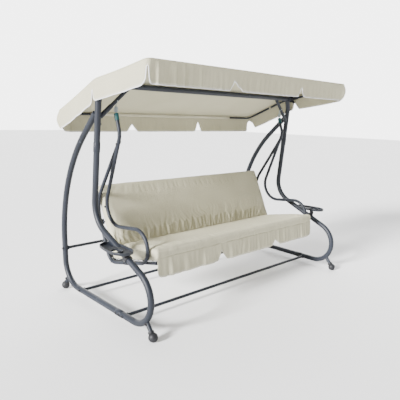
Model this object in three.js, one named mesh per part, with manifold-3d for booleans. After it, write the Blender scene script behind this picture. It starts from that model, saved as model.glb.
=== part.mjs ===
// Three-seat canopy swing bench.
// Millimetres. +X runs along the bench, -Y is the front, +Z is up, and the ground is z = 0.
// Left means -X and right means +X. The origin is on the ground, at the middle of the whole bench.
import * as THREE from "three";
import { mergeVertices } from "three/addons/utils/BufferGeometryUtils.js";
import Module from "manifold-3d";

const wasm = await Module();
wasm.setup();

// ---------------------------------------------------------------- driving dimensions

const GAP = 0.3; // between pieces that touch
const CHORD_ERROR = 0.9; // how far a bend's chords may leave the true arc

// Stand
const FRAME_X = 970; // centre plane of each end frame
const LEG_R = 20;
const BAR_Y = 10;
const BAR_Z = 1452;
const BAR_R = 19;
const BAR_HALF = 983.5;
const CAP_LENGTH = 12;
const CROSSBAR_R = 11;
const STRUT_R = 14;
const FOOT_R = 29;
const FOOT_Z = 27; // ball centre above the ground
const FOOT_Y = 529;
const BASE_JOINT_Y = -187; // where the front and rear leg tubes meet
const BRACE_R = 12.5;
const SLEEVE_R = 15;

// Swing
const HANG_X = 846; // centre plane of each swing side frame
const HANG_Y = 30;
const HANG_Z = 1332; // the swing's axis
const SWING_R = 12.5;
const SEAT_SLOPE = 0.231; // the seat frame rises this much per millimetre towards the front
const SEAT_FRAME_Z = 310; // height of the seat frame's centre lines at y = 0
const SEAT_RAIL_R = 10;
const SEAT_RAIL_X = 823;
const SEAT_FRONT = -362;
const SEAT_REAR = 79;
const DECK_THICKNESS = 4;

// Cushions
const PAD_HALF = 828;
const SEAT_PAD = { front: -372, rear: 105, frontTop: 485, topSlope: 0.205 };
const BACK_PAD_HALF = 818;
const BACK_FOOT = { y: 78, z: 405 }; // lower front edge of the back cushion
const BACK_LENGTH = 426;
const BACK_THICKNESS = 65;
const BACK_ANGLE = THREE.MathUtils.degToRad(25.75); // from the vertical
const SKIRT_BOTTOM = 304;

// Backrest frame
const BACK_TUBE_R = 10;
const BACK_TUBE_X = 797;
const PIVOT_Z = 324;

// Canopy
const ROOF = { front: -500, frontZ: 1566, ridge: 16, ridgeZ: 1484, rear: 514, rearZ: 1284 };
const HEM = { front: -488, frontZ: 1438, ridgeZ: 1357, rear: 488, rearZ: 1164 };
const ROOF_HALF = 1001;
const CLOTH = 3;
const RAIL_R = 8;
const RAIL_X = 976;
const RAIL_DROP = 12.5; // from the cover's outer face down to the front rail's centre
const REAR_RAIL_DROP = 19;

// ---------------------------------------------------------------- finishes

const POWDER_COAT = { color: 0x4a505c, roughness: 0.45, metalness: 0.55 };
const BLACK_PLASTIC = { color: 0x1d1f22, roughness: 0.5, metalness: 0 };
const TRAY_PLASTIC = { color: 0x31353c, roughness: 0.45, metalness: 0 };
const ZINC = { color: 0xb4bcc2, roughness: 0.3, metalness: 0.9 };
const TEAL_SLEEVE = { color: 0x1f4a4b, roughness: 0.5, metalness: 0 };
const CANVAS = { color: 0xd8d4bc, roughness: 0.9, metalness: 0 };

// ---------------------------------------------------------------- solids

const bench = new THREE.Group();

function add(name, geometry, finish) {
  const mesh = new THREE.Mesh(geometry, new THREE.MeshStandardMaterial(finish));
  mesh.name = name;
  bench.add(mesh);
}

function toSolid(geometry) {
  const bare = geometry.index ? geometry.toNonIndexed() : geometry.clone();
  bare.deleteAttribute("normal");
  bare.deleteAttribute("uv");
  const merged = mergeVertices(bare, 1e-3);
  return new wasm.Manifold(
    new wasm.Mesh({
      numProp: 3,
      vertProperties: new Float32Array(merged.attributes.position.array),
      triVerts: new Uint32Array(merged.index.array),
    }),
  );
}

function toGeometry(solid) {
  const mesh = solid.getMesh();
  const geometry = new THREE.BufferGeometry();
  geometry.setAttribute("position", new THREE.BufferAttribute(mesh.vertProperties, 3));
  geometry.setIndex(new THREE.BufferAttribute(mesh.triVerts, 1));
  geometry.computeVertexNormals();
  return geometry;
}

function cut(geometry, ...tools) {
  let body = toSolid(geometry);
  for (const tool of tools) {
    body = body.subtract(toSolid(tool));
  }
  return toGeometry(body);
}

function join(...geometries) {
  let body = toSolid(geometries[0]);
  for (const other of geometries.slice(1)) {
    body = body.add(toSolid(other));
  }
  return toGeometry(body);
}

// The largest separate part of a cut body: what a trimmed tube end leaves behind is scrap.
function keepLargest(geometry) {
  const parts = toSolid(geometry).decompose();
  parts.sort((a, b) => b.volume() - a.volume());
  return toGeometry(parts[0]);
}

function hull(points) {
  return toGeometry(wasm.Manifold.hull(points.map((point) => point.toArray())));
}

// ---------------------------------------------------------------- tubes

// A centre line known at its stations only: a point and a direction at each.
class StationLine extends THREE.Curve {
  constructor(stations) {
    super();
    this.stations = stations;
  }

  stationAt(u) {
    return this.stations[Math.round(u * (this.stations.length - 1))];
  }

  getPointAt(u) {
    return this.stationAt(u).point.clone();
  }

  getTangentAt(u) {
    return this.stationAt(u).tangent.clone();
  }
}

// Straight runs between corners, each corner rounded to its bend radius.
// A corner is { at: Vector3, bend: radius }, and the two ends have no bend.
function bentStations(corners) {
  const first = corners[0].at;
  const last = corners[corners.length - 1].at;
  const stations = [{ point: first, tangent: corners[1].at.clone().sub(first).normalize() }];
  for (let i = 1; i < corners.length - 1; i += 1) {
    const { at, bend } = corners[i];
    const into = at.clone().sub(corners[i - 1].at).normalize();
    const out = corners[i + 1].at.clone().sub(at).normalize();
    const turn = into.angleTo(out);
    const inward = out.clone().addScaledVector(into, -into.dot(out)).normalize();
    const start = at.clone().addScaledVector(into, -bend * Math.tan(turn / 2));
    const steps = Math.max(2, Math.ceil(turn / (2 * Math.acos(1 - CHORD_ERROR / bend))));
    for (let k = 0; k <= steps; k += 1) {
      const angle = (turn * k) / steps;
      stations.push({
        point: start
          .clone()
          .addScaledVector(into, bend * Math.sin(angle))
          .addScaledVector(inward, bend * (1 - Math.cos(angle))),
        tangent: into
          .clone()
          .multiplyScalar(Math.cos(angle))
          .addScaledVector(inward, Math.sin(angle)),
      });
    }
  }
  const beforeLast = corners[corners.length - 2].at;
  stations.push({ point: last, tangent: last.clone().sub(beforeLast).normalize() });
  return stations;
}

function roundSection(radius, sides) {
  const points = [];
  for (let k = 0; k < sides; k += 1) {
    const angle = (2 * Math.PI * (k + 0.5)) / sides;
    points.push(new THREE.Vector2(radius * Math.cos(angle), radius * Math.sin(angle)));
  }
  return new THREE.Shape(points);
}

function sweep(stations, radius, sides) {
  return new THREE.ExtrudeGeometry(roundSection(radius, sides), {
    steps: stations.length - 1,
    extrudePath: new StationLine(stations),
    bevelEnabled: false,
  });
}

function tube(corners, radius, sides = 12) {
  return sweep(bentStations(corners), radius, sides);
}

function rod(from, to, radius, sides = 12) {
  return tube([{ at: from }, { at: to }], radius, sides);
}

// A wire through points: its direction at each is that of its neighbours' chord.
function wire(points, radius, sides) {
  const stations = points.map((point, i) => {
    const before = points[Math.max(i - 1, 0)];
    const after = points[Math.min(i + 1, points.length - 1)];
    return { point, tangent: after.clone().sub(before).normalize() };
  });
  return sweep(stations, radius, sides);
}

// ---------------------------------------------------------------- flat stock

// A prism along X, from x0 to x1, whose section is given as [y, z] points.
function prismX(section, x0, x1) {
  const shape = new THREE.Shape(section.map(([y, z]) => new THREE.Vector2(y, z)));
  const geometry = new THREE.ExtrudeGeometry(shape, {
    depth: Math.abs(x1 - x0),
    bevelEnabled: false,
  });
  const turn = new THREE.Matrix4().makeBasis(
    new THREE.Vector3(0, 1, 0),
    new THREE.Vector3(0, 0, 1),
    new THREE.Vector3(1, 0, 0),
  );
  geometry.applyMatrix4(turn);
  geometry.translate(Math.min(x0, x1), 0, 0);
  return geometry;
}

// A prism along Y, from y0 to y1, whose section is given as [x, z] points.
function prismY(section, y0, y1) {
  const shape = new THREE.Shape(section.map(([x, z]) => new THREE.Vector2(x, z)));
  const geometry = new THREE.ExtrudeGeometry(shape, { depth: y1 - y0, bevelEnabled: false });
  geometry.rotateX(Math.PI / 2);
  geometry.translate(0, y1, 0);
  return geometry;
}

// ---------------------------------------------------------------- stand

const at = (side, x, y, z) => new THREE.Vector3(side * x, y, z);

function baseZ(y) {
  return 57 + 0.0055 * y;
}

function frontLegCorners(side) {
  return [
    { at: at(side, FRAME_X, BASE_JOINT_Y - GAP, baseZ(BASE_JOINT_Y)) },
    { at: at(side, FRAME_X, -515, baseZ(-515)), bend: 165 },
    { at: at(side, FRAME_X, -503, 329), bend: 172 },
    { at: at(side, FRAME_X, 102, 600), bend: 185 },
    { at: at(side, FRAME_X, 31, 1375), bend: 100 },
    { at: at(side, FRAME_X - 54, BAR_Y, BAR_Z) },
  ];
}

function rearLegCorners(side) {
  return [
    { at: at(side, FRAME_X, BASE_JOINT_Y, baseZ(BASE_JOINT_Y)) },
    { at: at(side, FRAME_X, 511, baseZ(511)), bend: 180 },
    { at: at(side, FRAME_X, 542.5, 834.5), bend: 1000 },
    { at: at(side, FRAME_X, 62, 1285) },
  ];
}

function topBar(extra = 0) {
  return rod(at(-1, BAR_HALF, BAR_Y, BAR_Z), at(1, BAR_HALF, BAR_Y, BAR_Z), BAR_R + extra, 16);
}

function ballFoot(side, end) {
  const flat = Math.sqrt(FOOT_R ** 2 - FOOT_Z ** 2);
  const start = Math.asin(-FOOT_Z / FOOT_R);
  const profile = [new THREE.Vector2(0, 0), new THREE.Vector2(flat, 0)];
  const steps = 9;
  for (let k = 1; k < steps; k += 1) {
    const angle = start + ((Math.PI / 2 - start) * k) / steps;
    profile.push(
      new THREE.Vector2(FOOT_R * Math.cos(angle), FOOT_Z + FOOT_R * Math.sin(angle)),
    );
  }
  profile.push(new THREE.Vector2(0, FOOT_Z + FOOT_R));
  const ball = new THREE.LatheGeometry(profile, 16);
  ball.rotateX(Math.PI / 2);
  ball.translate(side * FRAME_X, end * FOOT_Y, 0);
  return ball;
}

// A strut from the leg's bend down to its ball foot, trimmed to both.
function footStrut(side, end, leg) {
  const top = end < 0 ? at(side, FRAME_X, -469, 99) : at(side, FRAME_X, 485.5, 97);
  const foot = at(side, FRAME_X, end * FOOT_Y, FOOT_Z);
  const socket = new THREE.SphereGeometry(FOOT_R + 1, 24, 18);
  socket.translate(foot.x, foot.y, foot.z);
  return keepLargest(cut(rod(top, foot, STRUT_R), leg, socket));
}

function crossbar(y, z) {
  const half = FRAME_X - LEG_R - GAP;
  return rod(at(-1, half, y, z), at(1, half, y, z), CROSSBAR_R);
}

const BRACE_FOOT = (side) => at(side, 955, 38, 1258);
const BRACE_TOP = (side) => at(side, 757, BAR_Y, BAR_Z - 4);
const SLEEVE_END = 0.37; // how far up the brace its sleeve reaches
const SLEEVE_PLUG = 0.2; // where the brace tube ends inside the sleeve

function bracePoint(side, share) {
  return BRACE_FOOT(side).lerp(BRACE_TOP(side), share);
}

function braceSleeve(side, leg) {
  const outer = rod(bracePoint(side, 0), bracePoint(side, SLEEVE_END), SLEEVE_R);
  const bore = rod(
    bracePoint(side, SLEEVE_PLUG - 0.005),
    bracePoint(side, SLEEVE_END + 0.05),
    BRACE_R + GAP,
  );
  return keepLargest(cut(outer, bore, leg));
}

function braceTube(side) {
  const body = rod(bracePoint(side, SLEEVE_PLUG), bracePoint(side, 1), BRACE_R);
  return keepLargest(cut(body, topBar(GAP)));
}

const EYE_R = 5;
const EYE_WIRE = 2;

// A welded eye under the brace: the spring's hook turns on its lowest stretch, the swing's axis.
function hangerEye(side, brace) {
  const ring = new THREE.TorusGeometry(EYE_R, EYE_WIRE, 6, 14);
  ring.rotateX(Math.PI / 2);
  ring.translate(side * HANG_X, HANG_Y, HANG_Z + EYE_R);
  const foot = at(side, HANG_X, HANG_Y, HANG_Z + 2 * EYE_R - 1);
  const plate = prismX(
    [
      [HANG_Y - 5, foot.z],
      [HANG_Y + 5, foot.z],
      [HANG_Y + 5, foot.z + 24],
      [HANG_Y - 26, foot.z + 24],
    ],
    foot.x - 9,
    foot.x + 9,
  );
  return keepLargest(cut(join(ring, plate), brace));
}

// ---------------------------------------------------------------- side trays

const TRAY_Z = 483;
const TRAY_DEPTH = 18;
const CUP = { x: 1040, y: -268, r: 34 };
const TRAY_OUTLINE = [
  [962, -98],
  [1004, -80],
  [1066, -104],
  [1087, -206],
  [1089, -298],
  [1068, -348],
  [1034, -369],
  [990, -362],
  [965, -330],
  [954, -216],
];

function trayShape(side, inset) {
  const middle = [1030, -236];
  const points = TRAY_OUTLINE.map(([x, y]) => {
    const away = new THREE.Vector2(x - middle[0], y - middle[1]);
    away.setLength(away.length() - inset);
    return new THREE.Vector2(side * (middle[0] + away.x), middle[1] + away.y);
  });
  return new THREE.Shape(points);
}

function trayPlate(side, inset, bottom, height) {
  const plate = new THREE.ExtrudeGeometry(trayShape(side, inset), {
    depth: height,
    bevelEnabled: false,
  });
  plate.translate(0, 0, bottom);
  return plate;
}

function sideTray(side, leg) {
  const shell = trayPlate(side, 0, TRAY_Z, TRAY_DEPTH);
  const recess = trayPlate(side, 6, TRAY_Z + 4, TRAY_DEPTH);
  const collar = new THREE.CylinderGeometry(CUP.r + 4, CUP.r + 4, TRAY_DEPTH - 6, 20);
  collar.rotateX(Math.PI / 2);
  collar.translate(side * CUP.x, CUP.y, TRAY_Z + (TRAY_DEPTH - 6) / 2);
  const hole = new THREE.CylinderGeometry(CUP.r, CUP.r, 60, 20);
  hole.rotateX(Math.PI / 2);
  hole.translate(side * CUP.x, CUP.y, TRAY_Z);
  return keepLargest(cut(join(cut(shell, recess), collar), hole, leg));
}

// A split collar round the front leg, with a lug that the tray rests on.
function trayCollar(side, leg) {
  const along = new THREE.Vector3(0, 605, 271).normalize();
  const middle = at(side, FRAME_X, -273, 432);
  const ring = rod(
    middle.clone().addScaledVector(along, -17),
    middle.clone().addScaledVector(along, 17),
    LEG_R + 6,
    14,
  );
  const lug = new THREE.BoxGeometry(14, 30, 40);
  lug.translate(side * (FRAME_X + 24), -274, TRAY_Z - GAP - 20);
  return cut(join(ring, lug), leg);
}

function stand() {
  for (const [label, side] of [
    ["left", -1],
    ["right", 1],
  ]) {
    const frontLeg = keepLargest(cut(tube(frontLegCorners(side), LEG_R), topBar(GAP)));
    const legSpace = tube(frontLegCorners(side), LEG_R + GAP);
    const rearLeg = keepLargest(cut(tube(rearLegCorners(side), LEG_R), legSpace));
    const rearLegSpace = tube(rearLegCorners(side), LEG_R + GAP);
    add(`${label}_front_leg`, frontLeg, POWDER_COAT);
    add(`${label}_rear_leg`, rearLeg, POWDER_COAT);
    add(`${label}_front_foot_strut`, footStrut(side, -1, legSpace), POWDER_COAT);
    add(`${label}_rear_foot_strut`, footStrut(side, 1, rearLegSpace), POWDER_COAT);
    add(`${label}_front_foot`, ballFoot(side, -1), BLACK_PLASTIC);
    add(`${label}_rear_foot`, ballFoot(side, 1), BLACK_PLASTIC);
    const capAt = (x) => at(side, x, BAR_Y, BAR_Z);
    const cap = rod(capAt(BAR_HALF + GAP), capAt(BAR_HALF + CAP_LENGTH), BAR_R - 0.5, 16);
    add(`${label}_bar_end_cap`, cap, BLACK_PLASTIC);
    add(`${label}_brace_sleeve`, braceSleeve(side, legSpace), POWDER_COAT);
    add(`${label}_brace_tube`, braceTube(side), POWDER_COAT);
    const braceSpace = rod(bracePoint(side, 0.1), bracePoint(side, 0.95), BRACE_R + GAP);
    add(`${label}_hanger_eye`, hangerEye(side, braceSpace), ZINC);
    add(`${label}_side_tray`, sideTray(side, tube(frontLegCorners(side), LEG_R + 1)), TRAY_PLASTIC);
    add(`${label}_tray_collar`, trayCollar(side, legSpace), TRAY_PLASTIC);
  }
  add("top_bar", topBar(), POWDER_COAT);
  add("front_crossbar", crossbar(-241, 55), POWDER_COAT);
  add("rear_bottom_crossbar", crossbar(288, 58), POWDER_COAT);
  add("rear_middle_crossbar", crossbar(517, 312), POWDER_COAT);
}

// ---------------------------------------------------------------- springs and swing side frames

const SPRING_R = 7.7;
const SPRING_WIRE = 1.7;
const SPRING_TOP = HANG_Z - 6;
const SPRING_BOTTOM = 1288;
const SPRING_TURNS = 6.5;
const HOOK_R = 4.2;

// Hook over the eye, stem, coil, and a stem into the sleeve: one wire.
function spring(side) {
  const points = [];
  const hookZ = HANG_Z - 0.3;
  for (let degrees = -20; degrees <= 200; degrees += 22) {
    const angle = THREE.MathUtils.degToRad(degrees);
    const y = HANG_Y + HOOK_R * Math.cos(angle);
    points.push(at(side, HANG_X, y, hookZ + HOOK_R * Math.sin(angle)));
  }
  points.push(at(side, HANG_X, HANG_Y - 2.2, hookZ - 5));
  const perTurn = 10;
  const steps = SPRING_TURNS * perTurn;
  const height = SPRING_TOP - SPRING_WIRE - (SPRING_BOTTOM + SPRING_WIRE);
  for (let k = 0; k <= steps; k += 1) {
    const angle = (2 * Math.PI * k) / perTurn;
    const fromEnd = Math.min(k, steps - k) / perTurn;
    const radius = SPRING_R * Math.min(1, 0.35 + 1.3 * fromEnd);
    const z = SPRING_TOP - SPRING_WIRE - (height * k) / steps;
    points.push(at(side, HANG_X + radius * Math.cos(angle), HANG_Y + radius * Math.sin(angle), z));
  }
  points.push(at(side, HANG_X, HANG_Y, SPRING_BOTTOM - 3));
  points.push(at(side, HANG_X, HANG_Y, SPRING_BOTTOM - 9));
  return wire(points, SPRING_WIRE, 6);
}

const TUBE_TOP = (side) => at(side, HANG_X, 29, 1280);
const TUBE_BEND = (side) => at(side, HANG_X, -13, 1149);

function seatLine(y) {
  return SEAT_FRAME_Z - SEAT_SLOPE * y;
}

const SIDE_JOINT_Y = -86; // where the front and rear tubes of a side frame meet

// From the sleeve down to the armrest, forward along it, round the front and back under the seat.
function armrestCorners(side) {
  return [
    { at: TUBE_TOP(side) },
    { at: TUBE_BEND(side), bend: 110 },
    { at: at(side, HANG_X, 218, 529), bend: 138 },
    { at: at(side, HANG_X, -302, 589), bend: 118 },
    { at: at(side, HANG_X, -311, 384), bend: 88 },
    { at: at(side, HANG_X, SIDE_JOINT_Y, seatLine(SIDE_JOINT_Y)) },
  ];
}

// From the joint under the seat back and up to the front tube, near its top.
function rearTubeCorners(side) {
  return [
    { at: at(side, HANG_X, SIDE_JOINT_Y + GAP, seatLine(SIDE_JOINT_Y)) },
    { at: at(side, HANG_X, 112.6, seatLine(112.6)), bend: 80 },
    { at: at(side, HANG_X, 285, 665), bend: 230 },
    { at: at(side, HANG_X, -7, 1116) },
  ];
}

// The hole down the tube's top end that the spring's stem goes into.
function stemHole(side) {
  const from = at(side, HANG_X, HANG_Y, SPRING_BOTTOM + 4);
  return rod(from, at(side, HANG_X, HANG_Y, SPRING_BOTTOM - 20), 3.2, 8);
}

// A cap pressed on the tube's top end, with a hole for the spring's stem.
function springSleeve(side) {
  const down = TUBE_BEND(side).sub(TUBE_TOP(side)).normalize();
  const point = (distance) => TUBE_TOP(side).addScaledVector(down, distance);
  const outer = rod(point(-3.5), point(42), SWING_R + 3, 12);
  const bore = rod(point(-GAP), point(45), SWING_R + 0.9, 12);
  return cut(outer, bore, stemHole(side));
}

function swingSideFrames() {
  for (const [label, side] of [
    ["left", -1],
    ["right", 1],
  ]) {
    add(`${label}_spring`, spring(side), ZINC);
    add(`${label}_spring_sleeve`, springSleeve(side), TEAL_SLEEVE);
    const armrest = cut(tube(armrestCorners(side), SWING_R), stemHole(side));
    add(`${label}_armrest_tube`, armrest, POWDER_COAT);
    const armrestSpace = tube(armrestCorners(side).slice(0, 3), SWING_R + GAP);
    const rearTube = cut(tube(rearTubeCorners(side), SWING_R), armrestSpace);
    add(`${label}_rear_hanger_tube`, keepLargest(rearTube), POWDER_COAT);
    add(`${label}_rest_bracket`, restBracket(side), POWDER_COAT);
  }
}

// ---------------------------------------------------------------- seat

// The seat frame's rails lie on one sloping plane. lift is measured square to that plane.
function seatPoint(x, y, lift = 0) {
  const tilt = Math.atan(SEAT_SLOPE);
  return new THREE.Vector3(x, y + lift * Math.sin(tilt), seatLine(y) + lift * Math.cos(tilt));
}

// The plate that stands in for the welded wire mesh of the seat.
function seatMesh() {
  const lift = SEAT_RAIL_R + GAP;
  const corner = (y, up) => {
    const point = seatPoint(0, y, up);
    return [point.y, point.z];
  };
  const section = [
    corner(SEAT_FRONT - 4, lift),
    corner(SEAT_REAR + 8, lift),
    corner(SEAT_REAR + 8, lift + DECK_THICKNESS),
    corner(SEAT_FRONT - 4, lift + DECK_THICKNESS),
  ];
  return prismX(section, -SEAT_RAIL_X + 4, SEAT_RAIL_X - 4);
}

function seatTop(y) {
  return SEAT_PAD.frontTop - SEAT_PAD.topSlope * (y - SEAT_PAD.front);
}

// A soft block with rounded long edges, as wide as the bench.
function seatCushion() {
  const lift = SEAT_RAIL_R + DECK_THICKNESS + 3 * GAP;
  const low = (y) => seatPoint(0, y, lift).z - SEAT_SLOPE * (y - seatPoint(0, y, lift).y);
  const { front, rear } = SEAT_PAD;
  const section = [
    [front + 12, low(front + 12) + 1],
    [rear - 10, low(rear - 10) + 1],
    [rear, low(rear) + 12],
    [rear, seatTop(rear) - 12],
    [rear - 10, seatTop(rear - 10)],
    [front + 18, seatTop(front + 18)],
    [front + 5, seatTop(front) - 6],
    [front, seatTop(front) - 20],
    [front, low(front) + 14],
    [front + 4, low(front) + 5],
  ];
  return prismX(section, -PAD_HALF, PAD_HALF);
}

const SKIRT_NOTCHES = [
  { from: -301, to: -211, apex: -266, apexZ: 376 },
  { from: 293, to: 396, apex: 333, apexZ: 348 },
];

// The hanging front flap, in three tabs with a notch between each two.
function frontSkirt() {
  const top = 428;
  const y0 = SEAT_PAD.front - 11;
  const sheet = prismX(
    [
      [y0 - 4, SKIRT_BOTTOM],
      [y0, SKIRT_BOTTOM],
      [y0 + 9, top - 8],
      [y0 + 9, top],
      [y0 + 5, top],
      [y0 + 5, top - 8],
    ],
    -PAD_HALF + 4,
    PAD_HALF - 4,
  );
  const notches = SKIRT_NOTCHES.map(({ from, to, apex, apexZ }) =>
    prismY(
      [
        [from, SKIRT_BOTTOM - 1],
        [to, SKIRT_BOTTOM - 1],
        [apex, apexZ],
      ],
      y0 - 30,
      y0 + 40,
    ),
  );
  return cut(sheet, ...notches);
}

function seat() {
  for (const [label, side] of [
    ["left", -1],
    ["right", 1],
  ]) {
    const rail = rod(
      seatPoint(side * SEAT_RAIL_X, SEAT_FRONT - 8),
      seatPoint(side * SEAT_RAIL_X, SEAT_REAR + 56),
      SEAT_RAIL_R,
    );
    add(`${label}_seat_side_rail`, rail, POWDER_COAT);
    add(`${label}_hinge_bracket`, hingeBracket(side), POWDER_COAT);
  }
  const half = SEAT_RAIL_X - SEAT_RAIL_R - GAP;
  for (const [name, y] of [
    ["seat_front_rail", SEAT_FRONT],
    ["seat_rear_rail", SEAT_REAR],
  ]) {
    add(name, rod(seatPoint(-half, y), seatPoint(half, y), SEAT_RAIL_R), POWDER_COAT);
  }
  add("seat_mesh", seatMesh(), POWDER_COAT);
  add("seat_cushion", seatCushion(), CANVAS);
  add("front_skirt", frontSkirt(), CANVAS);
}

// ---------------------------------------------------------------- backrest

// A point on the backrest: up runs along its front face, back runs square to it, away from the seat.
function backPoint(x, up, back) {
  const s = Math.sin(BACK_ANGLE);
  const c = Math.cos(BACK_ANGLE);
  return new THREE.Vector3(x, BACK_FOOT.y + up * s + back * c, BACK_FOOT.z + up * c - back * s);
}

const MESH_BACK = BACK_THICKNESS + 1;
const TUBE_BACK = MESH_BACK + DECK_THICKNESS + GAP + BACK_TUBE_R;
const PIVOT_UP = (() => {
  const start = backPoint(0, 0, TUBE_BACK);
  return (PIVOT_Z - start.z) / Math.cos(BACK_ANGLE);
})();
const PIVOT = backPoint(0, PIVOT_UP, TUBE_BACK);
const STUD_UP = 190; // where the backrest's side studs rest in their brackets
const BACK_TUBE_TOP = 372;
const BOLT_R = 5;

function backSection(x, points) {
  return points.map(([up, back]) => {
    const point = backPoint(x, up, back);
    return [point.y, point.z];
  });
}

function backCushion() {
  const t = BACK_THICKNESS;
  const section = backSection(0, [
    [0, 14],
    [10, 3],
    [24, 0],
    [BACK_LENGTH - 20, 0],
    [BACK_LENGTH - 6, 5],
    [BACK_LENGTH, 18],
    [BACK_LENGTH, t - 16],
    [BACK_LENGTH - 6, t - 4],
    [BACK_LENGTH - 20, t],
    [24, t],
    [8, t - 4],
    [1, t - 14],
  ]);
  return prismX(section.reverse(), -BACK_PAD_HALF, BACK_PAD_HALF);
}

// One tube bent into a wide U, standing on the two pivots, with a stud out of each side.
function backrestFrame() {
  const point = (x, up) => backPoint(x, up, TUBE_BACK);
  const hoop = tube(
    [
      { at: point(-BACK_TUBE_X, PIVOT_UP - 14) },
      { at: point(-BACK_TUBE_X, BACK_TUBE_TOP), bend: 60 },
      { at: point(BACK_TUBE_X, BACK_TUBE_TOP), bend: 60 },
      { at: point(BACK_TUBE_X, PIVOT_UP - 14) },
    ],
    BACK_TUBE_R,
  );
  const studs = [-1, 1].map((side) =>
    rod(point(side * BACK_TUBE_X, STUD_UP), point(side * (HANG_X - SWING_R - 0.8), STUD_UP), 5, 8),
  );
  const holes = [-1, 1].map((side) =>
    rod(point(side * (BACK_TUBE_X - 20), PIVOT_UP), point(side * 830, PIVOT_UP), BOLT_R + 0.6, 12),
  );
  return cut(join(hoop, ...studs), ...holes);
}

function backrestMesh() {
  const section = backSection(0, [
    [6, MESH_BACK],
    [BACK_TUBE_TOP + 4, MESH_BACK],
    [BACK_TUBE_TOP + 4, MESH_BACK + DECK_THICKNESS],
    [6, MESH_BACK + DECK_THICKNESS],
  ]);
  return prismX(section.reverse(), -BACK_TUBE_X - 4, BACK_TUBE_X + 4);
}

// A plate beside the seat's side rail that carries the recline bolt.
function hingeBracket(side) {
  const radius = 17;
  const section = [];
  for (let degrees = -20; degrees <= 200; degrees += 20) {
    const angle = THREE.MathUtils.degToRad(degrees);
    section.push([PIVOT.y + radius * Math.cos(angle), PIVOT.z + radius * Math.sin(angle)]);
  }
  section.push([PIVOT.y - 40, seatLine(PIVOT.y - 40) - 8]);
  section.push([PIVOT.y + 2, seatLine(PIVOT.y) - 8]);
  const x0 = BACK_TUBE_X + BACK_TUBE_R + 1;
  const plate = prismX(section, side * x0, side * (x0 + 4.5));
  const hole = rod(
    at(side, x0 - 10, PIVOT.y, PIVOT.z),
    at(side, x0 + 15, PIVOT.y, PIVOT.z),
    BOLT_R + GAP,
    12,
  );
  return cut(plate, hole);
}

// Bolt and star knob in one: it clamps the backrest tube against its bracket.
function reclineKnob(side) {
  const x = BACK_TUBE_X + BACK_TUBE_R + 6;
  const bolt = rod(
    at(side, BACK_TUBE_X - BACK_TUBE_R - 8, PIVOT.y, PIVOT.z),
    at(side, x + 10, PIVOT.y, PIVOT.z),
    BOLT_R,
  );
  const lobes = [];
  for (let k = 0; k < 10; k += 1) {
    const angle = (2 * Math.PI * k) / 10;
    const radius = k % 2 ? 11 : 15;
    lobes.push([PIVOT.y + radius * Math.cos(angle), PIVOT.z + radius * Math.sin(angle)]);
  }
  return join(bolt, prismX(lobes, side * x, side * (x + 16)));
}

// A plate on the rear hanger tube with a slot, open to the rear, for the backrest's stud.
function restBracket(side) {
  const stud = backPoint(0, STUD_UP, TUBE_BACK);
  const out = new THREE.Vector2(Math.cos(BACK_ANGLE), -Math.sin(BACK_ANGLE));
  const up = new THREE.Vector2(Math.sin(BACK_ANGLE), Math.cos(BACK_ANGLE));
  const place = ([along, across]) => [
    stud.y + along * out.x + across * up.x,
    stud.z + along * out.y + across * up.y,
  ];
  const section = [
    [-24, -18],
    [34, -18],
    [42, -10],
    [2, -8],
    [-10, 0],
    [2, 8],
    [42, 10],
    [34, 18],
    [-24, 18],
  ].map(place);
  const x0 = HANG_X - SWING_R - GAP;
  return prismX(section, side * (x0 - 4.5), side * x0);
}

function backrest() {
  add("backrest_frame", backrestFrame(), POWDER_COAT);
  add("backrest_mesh", backrestMesh(), POWDER_COAT);
  add("back_cushion", backCushion(), CANVAS);
  add("left_recline_knob", reclineKnob(-1), BLACK_PLASTIC);
  add("right_recline_knob", reclineKnob(1), BLACK_PLASTIC);
}

// ---------------------------------------------------------------- canopy

function roofZ(y) {
  const toFront = (ROOF.frontZ - ROOF.ridgeZ) / (ROOF.ridge - ROOF.front);
  const toRear = (ROOF.ridgeZ - ROOF.rearZ) / (ROOF.rear - ROOF.ridge);
  return y < ROOF.ridge
    ? ROOF.ridgeZ + toFront * (ROOF.ridge - y)
    : ROOF.ridgeZ - toRear * (y - ROOF.ridge);
}

const HUB_R = 26;
const HUB_X0 = RAIL_X - 14;
const HUB_X1 = BAR_HALF - GAP;

// The rail's centre line along the cover's front or rear edge.
function edgeRail(end) {
  const y = end < 0 ? ROOF.front + 15 : ROOF.rear - 19;
  return { y, z: roofZ(y) - (end < 0 ? RAIL_DROP : REAR_RAIL_DROP) };
}

// A U of rail: out of one bracket, along the side, across the front or rear, and back.
function canopyBow(end) {
  const edge = edgeRail(end);
  const start = BAR_Y + end * (HUB_R + 4);
  const startZ = BAR_Z + 3;
  return tube(
    [
      { at: at(-1, RAIL_X, start, startZ) },
      { at: at(-1, RAIL_X, edge.y, edge.z), bend: 45 },
      { at: at(1, RAIL_X, edge.y, edge.z), bend: 45 },
      { at: at(1, RAIL_X, start, startZ) },
    ],
    RAIL_R,
  );
}

const KNOB_SCREW_R = 4;
const KNOB_ANGLE = THREE.MathUtils.degToRad(42); // below the front, out of the bows' way

function knobPoint(side, distance) {
  const y = BAR_Y - distance * Math.cos(KNOB_ANGLE);
  return at(side, RAIL_X, y, BAR_Z - distance * Math.sin(KNOB_ANGLE));
}

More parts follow.
